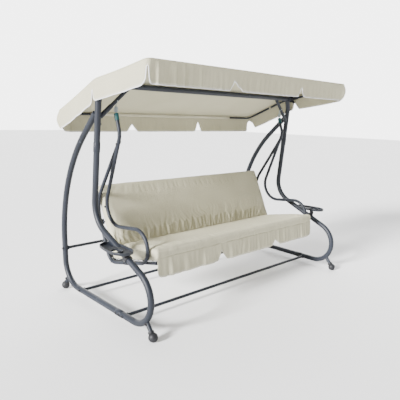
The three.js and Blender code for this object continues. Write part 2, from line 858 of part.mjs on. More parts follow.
// A hub that turns on the top bar, with a socket for each bow.
function canopyBracket(side, bows) {
  const hub = rod(at(side, HUB_X0, BAR_Y, BAR_Z), at(side, HUB_X1, BAR_Y, BAR_Z), HUB_R, 20);
  const sockets = [-1, 1].map((end) => {
    const edge = edgeRail(end);
    const rail = at(side, RAIL_X, edge.y, edge.z);
    const start = at(side, RAIL_X, BAR_Y + end * (HUB_R + 4), BAR_Z + 3);
    const direction = rail.sub(start).normalize();
    return rod(
      start.clone().addScaledVector(direction, -14),
      start.clone().addScaledVector(direction, 40),
      RAIL_R + 3.5,
    );
  });
  const bore = rod(
    at(side, HUB_X0 - 10, BAR_Y, BAR_Z),
    at(side, HUB_X1 + 10, BAR_Y, BAR_Z),
    BAR_R + 0.6,
    24,
  );
  const boss = rod(knobPoint(side, HUB_R - 4), knobPoint(side, HUB_R + 9), 9);
  const threaded = rod(knobPoint(side, BAR_R), knobPoint(side, HUB_R + 20), KNOB_SCREW_R + GAP, 10);
  return cut(join(hub, ...sockets, boss), bore, threaded, ...bows);
}

// A wing knob on the bracket, on a screw that bears on the top bar.
function canopyKnob(side) {
  const point = (distance) => knobPoint(side, distance);
  const screw = rod(point(BAR_R + 1.5), point(HUB_R + 12), KNOB_SCREW_R, 10);
  const hub = rod(point(HUB_R + 10), point(HUB_R + 26), 8, 10);
  const middle = point(HUB_R + 17);
  const wingEnd = (offset) => middle.clone().setX(side * (RAIL_X + offset));
  const wing = rod(wingEnd(-16), wingEnd(16), 4.5, 8);
  return join(screw, hub, wing);
}

// A notch in a valance: its corners at the hem, its apex, and how far up it reaches.
const FRONT_NOTCHES = [
  [-355, -331, -243],
  [358, 388, 434],
];
const REAR_NOTCHES = [
  [-453, -397, -360],
  [258, 302, 330],
];
const NOTCH_HEIGHT = 60;
const SIDE_NOTCHES = [
  { side: -1, front: 6, rear: 68, y: 60, height: 70 },
  { side: 1, front: -65, rear: -2, y: -8, height: 66 },
];
const SLIT = { along: 66, across: 54, height: 88 }; // at each rear corner

// A wedge that opens a rear corner of the valance from its hem up to a point below the roof.
function cornerSlit(side) {
  const base = HEM.rearZ - 40;
  const apex = HEM.rearZ + SLIT.height;
  const low = [
    at(side, ROOF_HALF + 20, ROOF.rear - SLIT.across, base),
    at(side, ROOF_HALF - SLIT.along, ROOF.rear + 20, base),
    at(side, ROOF_HALF + 20, ROOF.rear + 20, base),
  ];
  const top = [
    at(side, ROOF_HALF + 20, ROOF.rear - 14, apex),
    at(side, ROOF_HALF - 14, ROOF.rear + 20, apex),
    at(side, ROOF_HALF + 20, ROOF.rear + 20, apex),
  ];
  return hull([...low, ...top]);
}

// The sewn cover: a roof with a ridge, a valance on each side, open underneath.
function canopyCover() {
  const { front, frontZ, ridge, ridgeZ, rear, rearZ } = ROOF;
  const outer = prismX(
    [
      [front, frontZ - 7],
      [front + 5, frontZ - 0.5],
      [ridge, ridgeZ],
      [rear - 5, rearZ + 1.5],
      [rear, rearZ - 6],
      [HEM.rear, HEM.rearZ],
      [ridge, HEM.ridgeZ],
      [HEM.front, HEM.frontZ],
    ].reverse(),
    -ROOF_HALF,
    ROOF_HALF,
  );
  const inner = prismX(
    [
      [front + CLOTH, frontZ - CLOTH - 6],
      [front + CLOTH + 4, frontZ - CLOTH],
      [ridge, ridgeZ - CLOTH],
      [rear - CLOTH - 4, rearZ - CLOTH + 1],
      [rear - CLOTH, rearZ - CLOTH - 5],
      [2 * HEM.rear - rear - CLOTH, 2 * HEM.rearZ - rearZ],
      [ridge, HEM.ridgeZ - 100],
      [2 * HEM.front - front + CLOTH, 2 * HEM.frontZ - frontZ],
    ].reverse(),
    -ROOF_HALF + CLOTH,
    ROOF_HALF - CLOTH,
  );
  const across = ([from, apex, to], z, y0, y1) =>
    prismY(
      [
        [from, z - 1],
        [to, z - 1],
        [apex, z + NOTCH_HEIGHT],
      ],
      y0,
      y1,
    );
  const sideNotches = SIDE_NOTCHES.map((notch) =>
    prismX(
      [
        [notch.front, HEM.ridgeZ - 30],
        [notch.rear, HEM.ridgeZ - 30],
        [notch.y, HEM.ridgeZ + notch.height],
      ],
      notch.side * (ROOF_HALF - 20),
      notch.side * (ROOF_HALF + 10),
    ),
  );
  return cut(
    outer,
    inner,
    ...FRONT_NOTCHES.map((notch) => across(notch, HEM.frontZ, front - 10, front + 40)),
    ...REAR_NOTCHES.map((notch) => across(notch, HEM.rearZ, rear - 60, rear + 10)),
    ...sideNotches,
    ...[-1, 1].map((side) => cornerSlit(side)),
  );
}

function canopy() {
  const bows = [canopyBow(-1), canopyBow(1)];
  add("canopy_front_bow", bows[0], POWDER_COAT);
  add("canopy_rear_bow", bows[1], POWDER_COAT);
  for (const [label, side] of [
    ["left", -1],
    ["right", 1],
  ]) {
    const spaces = [-1, 1].map((end) => bowSpace(side, end));
    add(`${label}_canopy_bracket`, canopyBracket(side, spaces), BLACK_PLASTIC);
    add(`${label}_canopy_knob`, canopyKnob(side), BLACK_PLASTIC);
  }
  add("canopy_cover", canopyCover(), CANVAS);
}

// The straight end of a bow with its clearance, for the bore of its socket.
function bowSpace(side, end) {
  const edge = edgeRail(end);
  const rail = at(side, RAIL_X, edge.y, edge.z);
  const start = at(side, RAIL_X, BAR_Y + end * (HUB_R + 4), BAR_Z + 3);
  const direction = rail.sub(start).normalize();
  return rod(
    start.clone().addScaledVector(direction, -GAP),
    start.clone().addScaledVector(direction, 80),
    RAIL_R + GAP + 0.1,
  );
}

stand();
swingSideFrames();
seat();
backrest();
canopy();

export default bench;
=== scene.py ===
"""Canopy swing bench: the visual model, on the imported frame. +X along the bench, -Y the front, +Z up."""

import math

import bpy
from mathutils import Matrix, Vector, noise
from mathutils.geometry import tessellate_polygon


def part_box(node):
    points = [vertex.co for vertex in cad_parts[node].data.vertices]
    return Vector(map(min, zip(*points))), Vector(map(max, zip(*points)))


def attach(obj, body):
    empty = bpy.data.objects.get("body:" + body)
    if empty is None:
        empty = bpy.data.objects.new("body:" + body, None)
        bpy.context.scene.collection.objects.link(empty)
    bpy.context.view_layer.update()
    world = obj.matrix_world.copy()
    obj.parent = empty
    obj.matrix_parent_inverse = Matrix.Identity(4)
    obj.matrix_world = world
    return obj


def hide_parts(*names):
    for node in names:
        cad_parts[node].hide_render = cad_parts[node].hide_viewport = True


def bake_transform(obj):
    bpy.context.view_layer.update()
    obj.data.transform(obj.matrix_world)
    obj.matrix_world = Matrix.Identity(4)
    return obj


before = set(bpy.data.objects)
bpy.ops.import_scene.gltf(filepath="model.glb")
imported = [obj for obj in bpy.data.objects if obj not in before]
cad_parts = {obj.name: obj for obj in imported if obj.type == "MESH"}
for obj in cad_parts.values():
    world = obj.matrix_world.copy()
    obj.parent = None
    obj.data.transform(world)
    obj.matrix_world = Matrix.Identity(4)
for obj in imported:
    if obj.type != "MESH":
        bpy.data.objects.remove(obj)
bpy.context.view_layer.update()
MM = 0.001  # shapes below are written in millimetres, in the frame's own axes
TAU = 2 * math.pi


# ---------------------------------------------------------------- shapes: (vertices, faces) in millimetres


def bent(corners, chord=7):
    """Stations (point, direction) along straight runs between corners, each (x, y, z) or (x, y, z, bend)."""
    points = [Vector(c[:3]) for c in corners]
    stations = [(points[0], (points[1] - points[0]).normalized())]
    for i in range(1, len(points) - 1):
        radius = corners[i][3]
        into = (points[i] - points[i - 1]).normalized()
        out = (points[i + 1] - points[i]).normalized()
        turn = into.angle(out)
        inward = (out - into * into.dot(out)).normalized()
        start = points[i] - into * radius * math.tan(turn / 2)
        steps = max(3, math.ceil(turn * radius / chord), math.ceil(math.degrees(turn) / 6))
        for k in range(steps + 1):
            a = turn * k / steps
            place = start + into * radius * math.sin(a) + inward * radius * (1 - math.cos(a))
            stations.append((place, into * math.cos(a) + inward * math.sin(a)))
    stations.append((points[-1], (points[-1] - points[-2]).normalized()))
    return stations


def through(points):
    """Stations through points, each direction that of its neighbours' chord."""
    points = [Vector(p) for p in points]
    last = len(points) - 1
    return [
        (p, (points[min(i + 1, last)] - points[max(i - 1, 0)]).normalized())
        for i, p in enumerate(points)
    ]


def sweep(stations, radius, sides=24, rounding=1.5, swell=None):
    """A round bar along stations with softened ends. swell(share) scales the radius along it."""
    first, last = stations[0], stations[-1]
    rows = [(first[0], first[1], radius - rounding)]
    rows.append((first[0] + first[1] * rounding, first[1], radius))
    rows += [(p, t, radius) for p, t in stations[1:-1]]
    rows.append((last[0] - last[1] * rounding, last[1], radius))
    rows.append((last[0], last[1], radius - rounding))
    before = rows[0][1]
    side = before.orthogonal().normalized()
    verts, faces = [], []
    for n, (p, t, r) in enumerate(rows):
        side = before.rotation_difference(t) @ side
        side = (side - t * side.dot(t)).normalized()
        other = t.cross(side)
        before = t
        if swell:
            r *= swell(n / (len(rows) - 1))
        for k in range(sides):
            a = TAU * k / sides
            verts.append(p + side * r * math.cos(a) + other * r * math.sin(a))
    for n in range(len(rows) - 1):
        for k in range(sides):
            a, b = n * sides + k, n * sides + (k + 1) % sides
            faces.append((a, b, b + sides, a + sides))
    faces.append(tuple(reversed(range(sides))))
    faces.append(tuple(range((len(rows) - 1) * sides, len(rows) * sides)))
    return verts, faces


def rod(a, b, radius, sides=24, rounding=1.0):
    return sweep(bent([a, b]), radius, sides, rounding)


def lathe(profile, origin, axis, sides=28, lobes=0, depth=0):
    """Turns [(radius, height)] about axis. With lobes the radius waves round the axis by depth."""
    axis = Vector(axis).normalized()
    u = axis.orthogonal().normalized()
    v = axis.cross(u)
    origin = Vector(origin)
    verts, rings, faces = [], [], []
    for radius, height in profile:
        if radius <= 0:
            rings.append([len(verts)])
            verts.append(origin + axis * height)
            continue
        rings.append(list(range(len(verts), len(verts) + sides)))
        for k in range(sides):
            a = TAU * k / sides
            r = radius * (1 + depth * math.cos(lobes * a))
            verts.append(origin + axis * height + u * r * math.cos(a) + v * r * math.sin(a))
    for low, high in zip(rings, rings[1:]):
        for k in range(sides):
            m = (k + 1) % sides
            if len(low) == 1:
                faces.append((low[0], high[m], high[k]))
            elif len(high) == 1:
                faces.append((low[k], low[m], high[0]))
            else:
                faces.append((low[k], low[m], high[m], high[k]))
    return verts, faces


def offset_loop(loop, inset):
    """A closed 2-D outline moved inward by inset, for an outline that runs counter-clockwise."""
    result = []
    n = len(loop)
    for i in range(n):
        a, b, c = Vector(loop[i - 1]), Vector(loop[i]), Vector(loop[(i + 1) % n])
        d1, d2 = (b - a).normalized(), (c - b).normalized()
        normal = Vector((-d1.y - d2.y, d1.x + d2.x))
        scale = max(normal.length_squared, 0.4)
        result.append(b + normal * (2 * inset / scale))
    return result


def rounded_loop(points, bend, steps=5):
    """A closed 2-D outline with each corner rounded."""
    result = []
    n = len(points)
    for i in range(n):
        a, b, c = Vector(points[i - 1]), Vector(points[i]), Vector(points[(i + 1) % n])
        reach = min(bend, (a - b).length * 0.45, (c - b).length * 0.45)
        start = b + (a - b).normalized() * reach
        end = b + (c - b).normalized() * reach
        for k in range(steps + 1):
            s = k / steps
            result.append((1 - s) ** 2 * start + 2 * s * (1 - s) * b + s * s * end)
    return result


def area_of(loop):
    return sum(loop[i - 1][0] * loop[i][1] - loop[i][0] * loop[i - 1][1] for i in range(len(loop))) / 2


def layers(loop, rows, place):
    """Stacks an outline as rows of (inset, height) and closes both ends; place gives each point."""
    loop = [Vector(p) for p in loop]
    if area_of(loop) < 0:
        loop.reverse()
    n = len(loop)
    verts, faces = [], []
    for inset, height in rows:
        verts += [Vector(place(p.x, p.y, height)) for p in offset_loop(loop, inset)]
    for r in range(len(rows) - 1):
        for k in range(n):
            a, b = r * n + k, r * n + (k + 1) % n
            faces.append((a, b, b + n, a + n))
    for row, flip in ((0, True), (len(rows) - 1, False)):
        flat = [Vector((p.x, p.y, 0)) for p in offset_loop(loop, rows[row][0])]
        for tri in tessellate_polygon([flat]):
            tri = [row * n + i for i in tri]
            a, b, c = (flat[i - row * n] for i in tri)
            if ((b - a).cross(c - a).z > 0) == flip:
                tri.reverse()
            faces.append(tuple(tri))
    return verts, faces


def plate(loop, thickness, place, bevel=0.8):
    rows = [(bevel, 0), (0, bevel), (0, thickness - bevel), (bevel, thickness)]
    return layers(loop, rows, place)


def bolt(origin, axis, size=8, head=5):
    """A hexagon nut with a domed cap on a washer."""
    washer = lathe([(0, 0), (size + 3, 0), (size + 3.4, 0.6), (size + 3, 1.4), (0, 1.4)], origin, axis)
    side = Vector(axis).normalized()
    start = Vector(origin) + side * 1.4
    nut = lathe([(0, 0), (size, 0), (size, head - 1), (size - 0.9, head), (0, head)], start, axis, 6)
    dome = [(size - 2, head - 1)]
    for a in range(1, 5):
        rise = a / 10 * math.pi
        dome.append(((size - 2) * math.cos(rise), head - 1 + (size - 2) * 0.8 * math.sin(rise)))
    dome.append((0, head - 1 + (size - 2) * 0.8))
    return [washer, nut, lathe([(0, head - 1.2)] + dome, start, axis, 20)]


def weld(origin, axis, radius):
    """A low rippled bead round a tube's foot."""
    axis = Vector(axis).normalized()
    u = axis.orthogonal().normalized()
    v = axis.cross(u)
    verts, faces = [], []
    rings, sides = 60, 8
    for i in range(rings):
        a = TAU * i / rings
        out = u * math.cos(a) + v * math.sin(a)
        thick = 2.1 + 0.5 * math.sin(a * 15)
        for k in range(sides):
            b = TAU * k / sides
            verts.append(Vector(origin) + out * (radius + thick * math.cos(b)) + axis * thick * math.sin(b))
    for i in range(rings):
        for k in range(sides):
            a, b = i * sides + k, i * sides + (k + 1) % sides
            c, d = ((i + 1) % rings) * sides + (k + 1) % sides, ((i + 1) % rings) * sides + k
            faces.append((a, d, c, b))
    return verts, faces


def on_side(side, parts):
    """The parts of the right-hand end, mirrored for the left."""
    if side > 0:
        return parts
    return [
        ([Vector((-v[0], v[1], v[2])) for v in verts], [tuple(reversed(f)) for f in faces])
        for verts, faces in parts
    ]


# ---------------------------------------------------------------- materials


class Look:
    """A procedural material under construction."""

    def __init__(self, name, coords="Object"):
        self.material = bpy.data.materials.new(name)
        self.material.use_nodes = True
        self.tree = self.material.node_tree
        self.shader = self.tree.nodes["Principled BSDF"]
        self.place = self.tree.nodes.new("ShaderNodeTexCoord").outputs[coords]

    def add(self, kind, inputs, **settings):
        node = self.tree.nodes.new(kind)
        for key, value in settings.items():
            setattr(node, key, value)
        for key, value in inputs.items():
            self.feed(node, key, value)
        return node

    def feed(self, node, key, value):
        if isinstance(value, bpy.types.NodeSocket):
            self.tree.links.new(value, node.inputs[key])
        else:
            node.inputs[key].default_value = value

    def noise(self, scale, detail=3.0):
        settings = {"Vector": self.place, "Scale": scale, "Detail": detail}
        return self.add("ShaderNodeTexNoise", settings).outputs["Fac"]

    def maths(self, operation, a, b=0.0, c=0.0):
        return self.add("ShaderNodeMath", {0: a, 1: b, 2: c}, operation=operation).outputs[0]

    def ramp(self, value, low, high, start=0.3, end=0.7):
        node = self.add("ShaderNodeValToRGB", {"Fac": value})
        node.color_ramp.elements[0].color = (*low, 1)
        node.color_ramp.elements[0].position = start
        node.color_ramp.elements[1].color = (*high, 1)
        node.color_ramp.elements[1].position = end
        return node.outputs["Color"]

    def between(self, value, low, high):
        inputs = {"Value": value, "To Min": low, "To Max": high}
        return self.add("ShaderNodeMapRange", inputs).outputs["Result"]

    def bump(self, height, distance, strength=1.0, under=None):
        inputs = {"Height": height, "Distance": distance, "Strength": strength}
        if under:
            inputs["Normal"] = under
        return self.add("ShaderNodeBump", inputs).outputs["Normal"]

    def finish(self, **inputs):
        for key, value in inputs.items():
            self.feed(self.shader, key.replace("_", " "), value)
        return self.material


def powder_coat():
    """Dark blue-grey powder coat on the tubes."""
    look = Look("powder coat")
    tone = look.ramp(look.noise(2.6, 4.0), (0.012, 0.0145, 0.021), (0.019, 0.0225, 0.032))
    scuff = look.maths("GREATER_THAN", look.noise(34.0, 8.0), 0.71)
    mixed = look.add("ShaderNodeMix", {0: scuff, 6: tone, 7: (0.04, 0.046, 0.058, 1)}, data_type="RGBA")
    peel = look.bump(look.noise(950.0, 2.0), 0.00012)
    wave = look.bump(look.noise(160.0, 2.0), 0.0003, 0.5, peel)
    rough = look.between(look.noise(16.0, 5.0), 0.4, 0.54)
    return look.finish(
        Base_Color=mixed.outputs[2], Roughness=rough, Normal=wave, Metallic=0.0,
        Specular_IOR_Level=0.3,
    )


def plastic(name, low, high, rough=(0.42, 0.6)):
    look = Look(name)
    tone = look.ramp(look.noise(5.0, 4.0), low, high)
    grain = look.bump(look.noise(1400.0, 2.0), 0.00015, 0.8)
    shine = look.between(look.noise(28.0, 6.0), *rough)
    return look.finish(Base_Color=tone, Roughness=shine, Normal=grain, Specular_IOR_Level=0.3)


def zinc():
    look = Look("zinc plate")
    tone = look.ramp(look.noise(240.0, 5.0), (0.24, 0.28, 0.29), (0.46, 0.51, 0.52))
    pits = look.bump(look.noise(700.0, 3.0), 0.0001)
    rough = look.between(look.noise(90.0, 4.0), 0.22, 0.42)
    return look.finish(Base_Color=tone, Roughness=rough, Normal=pits, Metallic=0.7)


def weave(look, u, v, thread):
    """A plain weave's height from two coordinates in metres."""
    turns = TAU / thread
    across = look.maths("SINE", look.maths("MULTIPLY", u, turns))
    along = look.maths("SINE", look.maths("MULTIPLY", v, turns))
    return look.maths("MULTIPLY", across, along)


def fabric(name, low, high, thread, coords, stitches=()):
    """Woven cloth. stitches are distances of stitch lines above the hem, where the map's v is that height."""
    look = Look(name, coords)
    split = look.add("ShaderNodeSeparateXYZ", {"Vector": look.place})
    u, v = split.outputs["X"], split.outputs["Y"]
    if coords == "Object":
        v = look.maths("ADD", split.outputs["Y"], look.maths("MULTIPLY", split.outputs["Z"], 1.3))
    tone = look.ramp(look.noise(3.0, 5.0), low, high)
    slub = look.noise(220.0, 3.0)
    fleck = look.add(
        "ShaderNodeMix", {0: look.between(slub, 0.0, 0.12), 6: tone, 7: (0.24, 0.22, 0.17, 1)},
        data_type="RGBA",
    )
    colour = fleck.outputs[2]
    threads = look.bump(weave(look, u, v, thread), 0.0002, 0.8)
    crumple = look.bump(look.noise(26.0, 4.0), 0.0016, 0.55, threads)
    if stitches:
        dash = look.maths("LESS_THAN", look.maths("FRACT", look.maths("MULTIPLY", u, 250.0)), 0.68)
        lines = [look.maths("COMPARE", v, height, 0.0006) for height in stitches]
        line = lines[0]
        for other in lines[1:]:
            line = look.maths("MAXIMUM", line, other)
        stitch = look.maths("MULTIPLY", dash, line)
        # The band below the top stitch line is painted lighter: a painted highlight along the folded hem,
        # while its bump stays as fold relief.
        band = look.maths("LESS_THAN", v, max(stitches) + 0.003)
        painted_hem_highlight = look.maths("MULTIPLY", band, 0.3)
        colour = look.add(
            "ShaderNodeMix", {0: painted_hem_highlight, 6: colour, 7: (0.66, 0.64, 0.53, 1)}, data_type="RGBA",
        ).outputs[2]
        colour = look.add(
            "ShaderNodeMix", {0: stitch, 6: colour, 7: (0.7, 0.69, 0.63, 1)}, data_type="RGBA",
        ).outputs[2]
        crumple = look.bump(stitch, 0.0006, 1.0, crumple)
        crumple = look.bump(band, 0.0008, 1.0, crumple)
    rough = look.between(look.noise(60.0, 4.0), 0.82, 0.95)
    return look.finish(Base_Color=colour, Roughness=rough, Normal=crumple, Specular_IOR_Level=0.2)


CLOTH_LOW, CLOTH_HIGH = (0.455, 0.43, 0.305), (0.50, 0.475, 0.345)
COAT = powder_coat()
BLACK = plastic("black plastic", (0.012, 0.012, 0.014), (0.022, 0.023, 0.026))
TRAY = plastic("tray plastic", (0.012, 0.014, 0.019), (0.019, 0.022, 0.029), (0.4, 0.55))
TEAL = plastic("teal sleeve", (0.006, 0.045, 0.048), (0.012, 0.065, 0.068), (0.35, 0.5))
ZINC = zinc()
PAD_CLOTH = fabric("cushion cloth", (0.47, 0.445, 0.32), (0.515, 0.49, 0.36), 0.0016, "Object")
CANOPY_CLOTH = fabric("canopy cloth", CLOTH_LOW, CLOTH_HIGH, 0.0014, "UV", (0.004, 0.009))
# The rolled hem cord is painted near white: a painted highlight along the hem edge.
HEM_EDGE_HIGHLIGHT = fabric("hem edge painted highlight", (0.80, 0.80, 0.82), (0.86, 0.86, 0.88), 0.001, "Object")
PIPING = fabric("seam cloth", (0.50, 0.475, 0.36), (0.55, 0.525, 0.41), 0.0012, "Object")


# ---------------------------------------------------------------- pieces


def mesh_object(name, parts, material, sharp=38, uvs=None):
    """One object from parts, in metres. uvs gives one (u, v) per vertex."""
    verts, faces = [], []
    for part_verts, part_faces in parts:
        base = len(verts)
        verts += [Vector(v) * MM for v in part_verts]
        faces += [tuple(i + base for i in f) for f in part_faces]
    data = bpy.data.meshes.new(name)
    data.from_pydata(verts, [], faces)
    data.validate()
    data.shade_smooth()
    data.set_sharp_from_angle(angle=math.radians(sharp))
    if uvs:
        layer = data.uv_layers.new(name="UVMap")
        for loop in data.loops:
            layer.data[loop.index].uv = uvs[loop.vertex_index]
    data.materials.append(material)
    thing = bpy.data.objects.new(name, data)
    bpy.context.scene.collection.objects.link(thing)
    return thing


def piece(name, parts, material, body, nodes=(), sharp=38):
    """A visible piece that rides on a body and stands for its CAD nodes."""
    thing = mesh_object(name, parts, material, sharp)
    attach(thing, body)
    if nodes:
        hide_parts(*nodes)
    return thing


def coated(name, parts, body, nodes=()):
    """A piece of powder-coated tube or plate."""
    return piece(name, parts, COAT, body, nodes)


SIDES = (("left", -1), ("right", 1))
LEG_X, LEG_R = 970, 20
BAR_Y, BAR_Z, BAR_R, BAR_HALF = 10, 1452, 19, 983.5
FOOT_Y, FOOT_Z, FOOT_R = 529, 27, 29
HANG_X, HANG_Y, HANG_Z, SWING_R = 846, 30, 1332, 12.5


def base_z(y):
    return 57 + 0.0055 * y


FRONT_LEG = [
    (LEG_X, -187.3, base_z(-187)),
    (LEG_X, -515, base_z(-515), 165),
    (LEG_X, -503, 329, 172),
    (LEG_X, 102, 600, 185),
    (LEG_X, 31, 1375, 100),
    (LEG_X - 50, BAR_Y, BAR_Z - 6),
]
REAR_LEG = [
    (LEG_X, -187, base_z(-187)),
    (LEG_X, 511, base_z(511), 180),
    (LEG_X, 542.5, 834.5, 1000),
    (LEG_X, 66, 1281.2),
]
BRACE_FOOT, BRACE_TOP = Vector((955, 38, 1258)), Vector((757, 10, 1448))


def ball_foot(end):
    """A ball foot with a flat where it meets the ground."""
    start = math.asin(-FOOT_Z / FOOT_R)
    profile = [(0, 0), (FOOT_R * math.cos(start) - 1, 0), (FOOT_R * math.cos(start), 0.6)]
    for k in range(1, 24):
        a = start + (math.pi / 2 - start) * k / 24
        radius = FOOT_R * math.cos(a) - (0.8 if k == 10 else 0)
        profile.append((radius, FOOT_Z + FOOT_R * math.sin(a)))
    profile.append((0, FOOT_Z + FOOT_R))
    return lathe(profile, (LEG_X, end * FOOT_Y, 0), (0, 0, 1), 40)


def foot_collar(end):
    top = Vector((LEG_X, -469, 99)) if end < 0 else Vector((LEG_X, 485.5, 97))
    foot = Vector((LEG_X, end * FOOT_Y, FOOT_Z))
    along = (top - foot).normalized()
    ring = [(14.2, 24), (19, 24.5), (19.6, 26), (18.6, 36), (17.8, 37.2), (14.2, 37.6)]
    return lathe(ring, foot, along, 32)


for label, side in SIDES:
    parts = on_side(side, [sweep(bent(FRONT_LEG), LEG_R, 32)])
    coated(f"{label}_front_leg_tube", parts, "stand", [f"{label}_front_leg"])
    parts = on_side(side, [sweep(bent(REAR_LEG), LEG_R, 32), weld((LEG_X, 78, 1270), (0, -0.73, 0.68), 19.6)])
    coated(f"{label}_rear_leg_tube", parts, "stand", [f"{label}_rear_leg"])
    for word, end in (("front", -1), ("rear", 1)):
        top = (LEG_X, -463, 108) if end < 0 else (LEG_X, 480, 106)
        strut = sweep(bent([top, (LEG_X, end * (FOOT_Y - 10), 41)]), 14, 28, 0.6)
        parts = on_side(side, [strut])
        coated(f"{label}_{word}_strut_tube", parts, "stand", [f"{label}_{word}_foot_strut"])
        parts = on_side(side, [ball_foot(end), foot_collar(end)])
        piece(f"{label}_{word}_ball_foot", parts, BLACK, "stand", [f"{label}_{word}_foot"])
    cap = [
        (0, 0), (BAR_R - 0.6, 0), (BAR_R - 0.4, 1), (BAR_R - 0.4, 7.5), (BAR_R - 2, 10.4),
        (BAR_R - 6, 11.7), (0, 12),
    ]
    parts = on_side(side, [lathe(cap, (BAR_HALF, BAR_Y, BAR_Z), (1, 0, 0), 40)])
    piece(f"{label}_bar_cap", parts, BLACK, "stand", [f"{label}_bar_end_cap"])
    along = BRACE_TOP - BRACE_FOOT
    sleeve = sweep(bent([BRACE_FOOT[:] , (BRACE_FOOT + along * 0.37)[:]]), 15, 28, 1.2)
    tube = sweep(bent([(BRACE_FOOT + along * 0.2)[:], (BRACE_FOOT + along * 0.97)[:]]), 12.5, 28, 0.6)
    parts = on_side(side, [sleeve])
    coated(f"{label}_brace_socket", parts, "stand", [f"{label}_brace_sleeve"])
    parts = on_side(side, [tube, weld(BRACE_FOOT + along * 0.9, along, 12.5)])
    coated(f"{label}_brace_bar", parts, "stand", [f"{label}_brace_tube"])
    ring = [
        (HANG_X, HANG_Y + 5 * math.cos(TAU * k / 28), HANG_Z + 5 + 5 * math.sin(TAU * k / 28))
        for k in range(31)
    ]
    lug = plate(
        rounded_loop([(25, 1341), (35, 1341), (36, 1362), (10, 1364), (8, 1358)], 3),
        7,
        lambda y, z, h: (HANG_X - 3.5 + h, y, z),
    )
    parts = on_side(side, [sweep(through(ring), 2, 14, 0.2), lug])
    piece(f"{label}_eye", parts, ZINC, "stand", [f"{label}_hanger_eye"])

    joint = [(21.4, 0), (22, 0.8), (22, 59), (21.4, 60)]
    start = Vector((LEG_X, -217, base_z(-217)))
    sleeve = lathe([(20.2, 0)] + joint + [(20.2, 60)], start, (0, 1, 0.0055), 36)
    elbow = lathe([(20.2, 0)] + joint + [(20.2, 60)], (LEG_X, 61.6, 1042), (0, -0.0912, 0.996), 36)
    parts = on_side(side, [sleeve, elbow])
    coated(f"{label}_leg_joint_sleeves", parts, "stand")
    bolts = []
    for y in (-203, -171):
        bolts += bolt((LEG_X + 21.6, y, base_z(y)), (1, 0, 0), 6, 4.5)
        bolts += bolt((LEG_X - 21.6, y, base_z(y)), (-1, 0, 0), 6, 4.5)
    bolts += bolt((LEG_X - 19.8, 46, 1215), (-1, 0, 0), 6)
    bolts += bolt((LEG_X - 15.2, 83, 1260), (-1, 0.1, 0), 6)
    for y, z in ((-241, 55), (288, 58), (517, 312)):
        bolts += bolt((LEG_X + 19.6, y, z), (1, 0, 0), 7)
    for y, z in ((-463, 108), (480, 106)):
        bolts += bolt((LEG_X + 13.4, y + (-14 if y < 0 else 14), z - 17), (1, 0, 0), 6)
    piece(f"{label}_stand_bolts", on_side(side, bolts), BLACK, "stand")

bar = sweep(bent([(-BAR_HALF, BAR_Y, BAR_Z), (BAR_HALF, BAR_Y, BAR_Z)]), BAR_R, 40, 0.6)
coated("top_bar_tube", [bar], "stand", ["top_bar"])
for name, y, z in (
    ("front_crossbar", -241, 55), ("rear_bottom_crossbar", 288, 58),
    ("rear_middle_crossbar", 517, 312),
):
    parts = [sweep(bent([(-951, y, z), (951, y, z)]), 11, 28, 0.4)]
    for side in (-1, 1):
        parts.append(lathe(
            [(11.1, 0), (15, 0), (16, 1), (15.4, 5), (13, 7), (11.1, 7.4)], (side * 950, y, z),
            (-side, 0, 0),
        ))
    coated(f"{name}_tube", parts, "stand", [name])


# ---------------------------------------------------------------- side trays

TRAY_Z, CUP_X, CUP_Y, CUP_R = 483, 1040, -268, 34
TRAY_OUTLINE = [
    (962, -98), (1004, -80), (1066, -104), (1087, -206), (1089, -298),
    (1068, -348), (1034, -369), (990, -362), (965, -330), (954, -216),
]


def tray():
    """The moulded dish: rounded rim, thin floor with ribs below, and a ring round the cup hole."""
    loop = rounded_loop(TRAY_OUTLINE, 30, 6)
    if area_of(loop) < 0:
        loop.reverse()
    rows = [
        (5, 0), (2.4, 0.5), (1, 2), (0.8, 13), (0, 14.5), (-0.6, 16), (0, 17.4), (1.4, 18),
        (3, 17.6), (3.8, 16.4), (4.6, 8), (6.5, 5), (10, 4),
    ]
    n = len(loop)
    verts, faces = [], []
    for inset, height in rows:
        verts += [Vector((p.x, p.y, TRAY_Z + height)) for p in offset_loop(loop, inset)]
    for r in range(len(rows) - 1):
        for k in range(n):
            a, b = r * n + k, r * n + (k + 1) % n
            faces.append((a, b, b + n, a + n))
    hole = [Vector((CUP_X + CUP_R * math.cos(TAU * k / 40), CUP_Y + CUP_R * math.sin(TAU * k / 40), 0)) for k in range(40)]
    for row, height, up in ((len(rows) - 1, 4, True), (0, 0, False)):
        outer = [Vector((v.x, v.y, 0)) for v in verts[row * n:row * n + n]]
        base = len(verts)
        verts += [Vector((v.x, v.y, TRAY_Z + height)) for v in outer + hole]
        flat = outer + hole
        for tri in tessellate_polygon([outer, hole]):
            a, b, c = (flat[i] for i in tri)
            tri = [base + i for i in tri]
            if ((b - a).cross(c - a).z > 0) != up:
                tri.reverse()
            faces.append(tuple(tri))
    ring = lathe(
        [
            (CUP_R, -0.5), (CUP_R + 3.6, -0.5), (CUP_R + 4, 0.5), (CUP_R + 3.6, 11),
            (CUP_R + 2.6, 12.2), (CUP_R + 1, 12.2), (CUP_R, 11), (CUP_R, -0.5),
        ],
        (CUP_X, CUP_Y, TRAY_Z), (0, 0, 1), 48,
    )
    parts = [(verts, faces), ring]
    for x0, y0, x1, y1 in (
        (975, -130, 1070, -130), (968, -170, 1078, -170), (1010, -210, 1010, -110),
        (1050, -210, 1050, -110),
    ):
        parts.append(rod((x0, y0, TRAY_Z + 0.6), (x1, y1, TRAY_Z + 0.6), 1.6, 8, 0.4))
    return parts


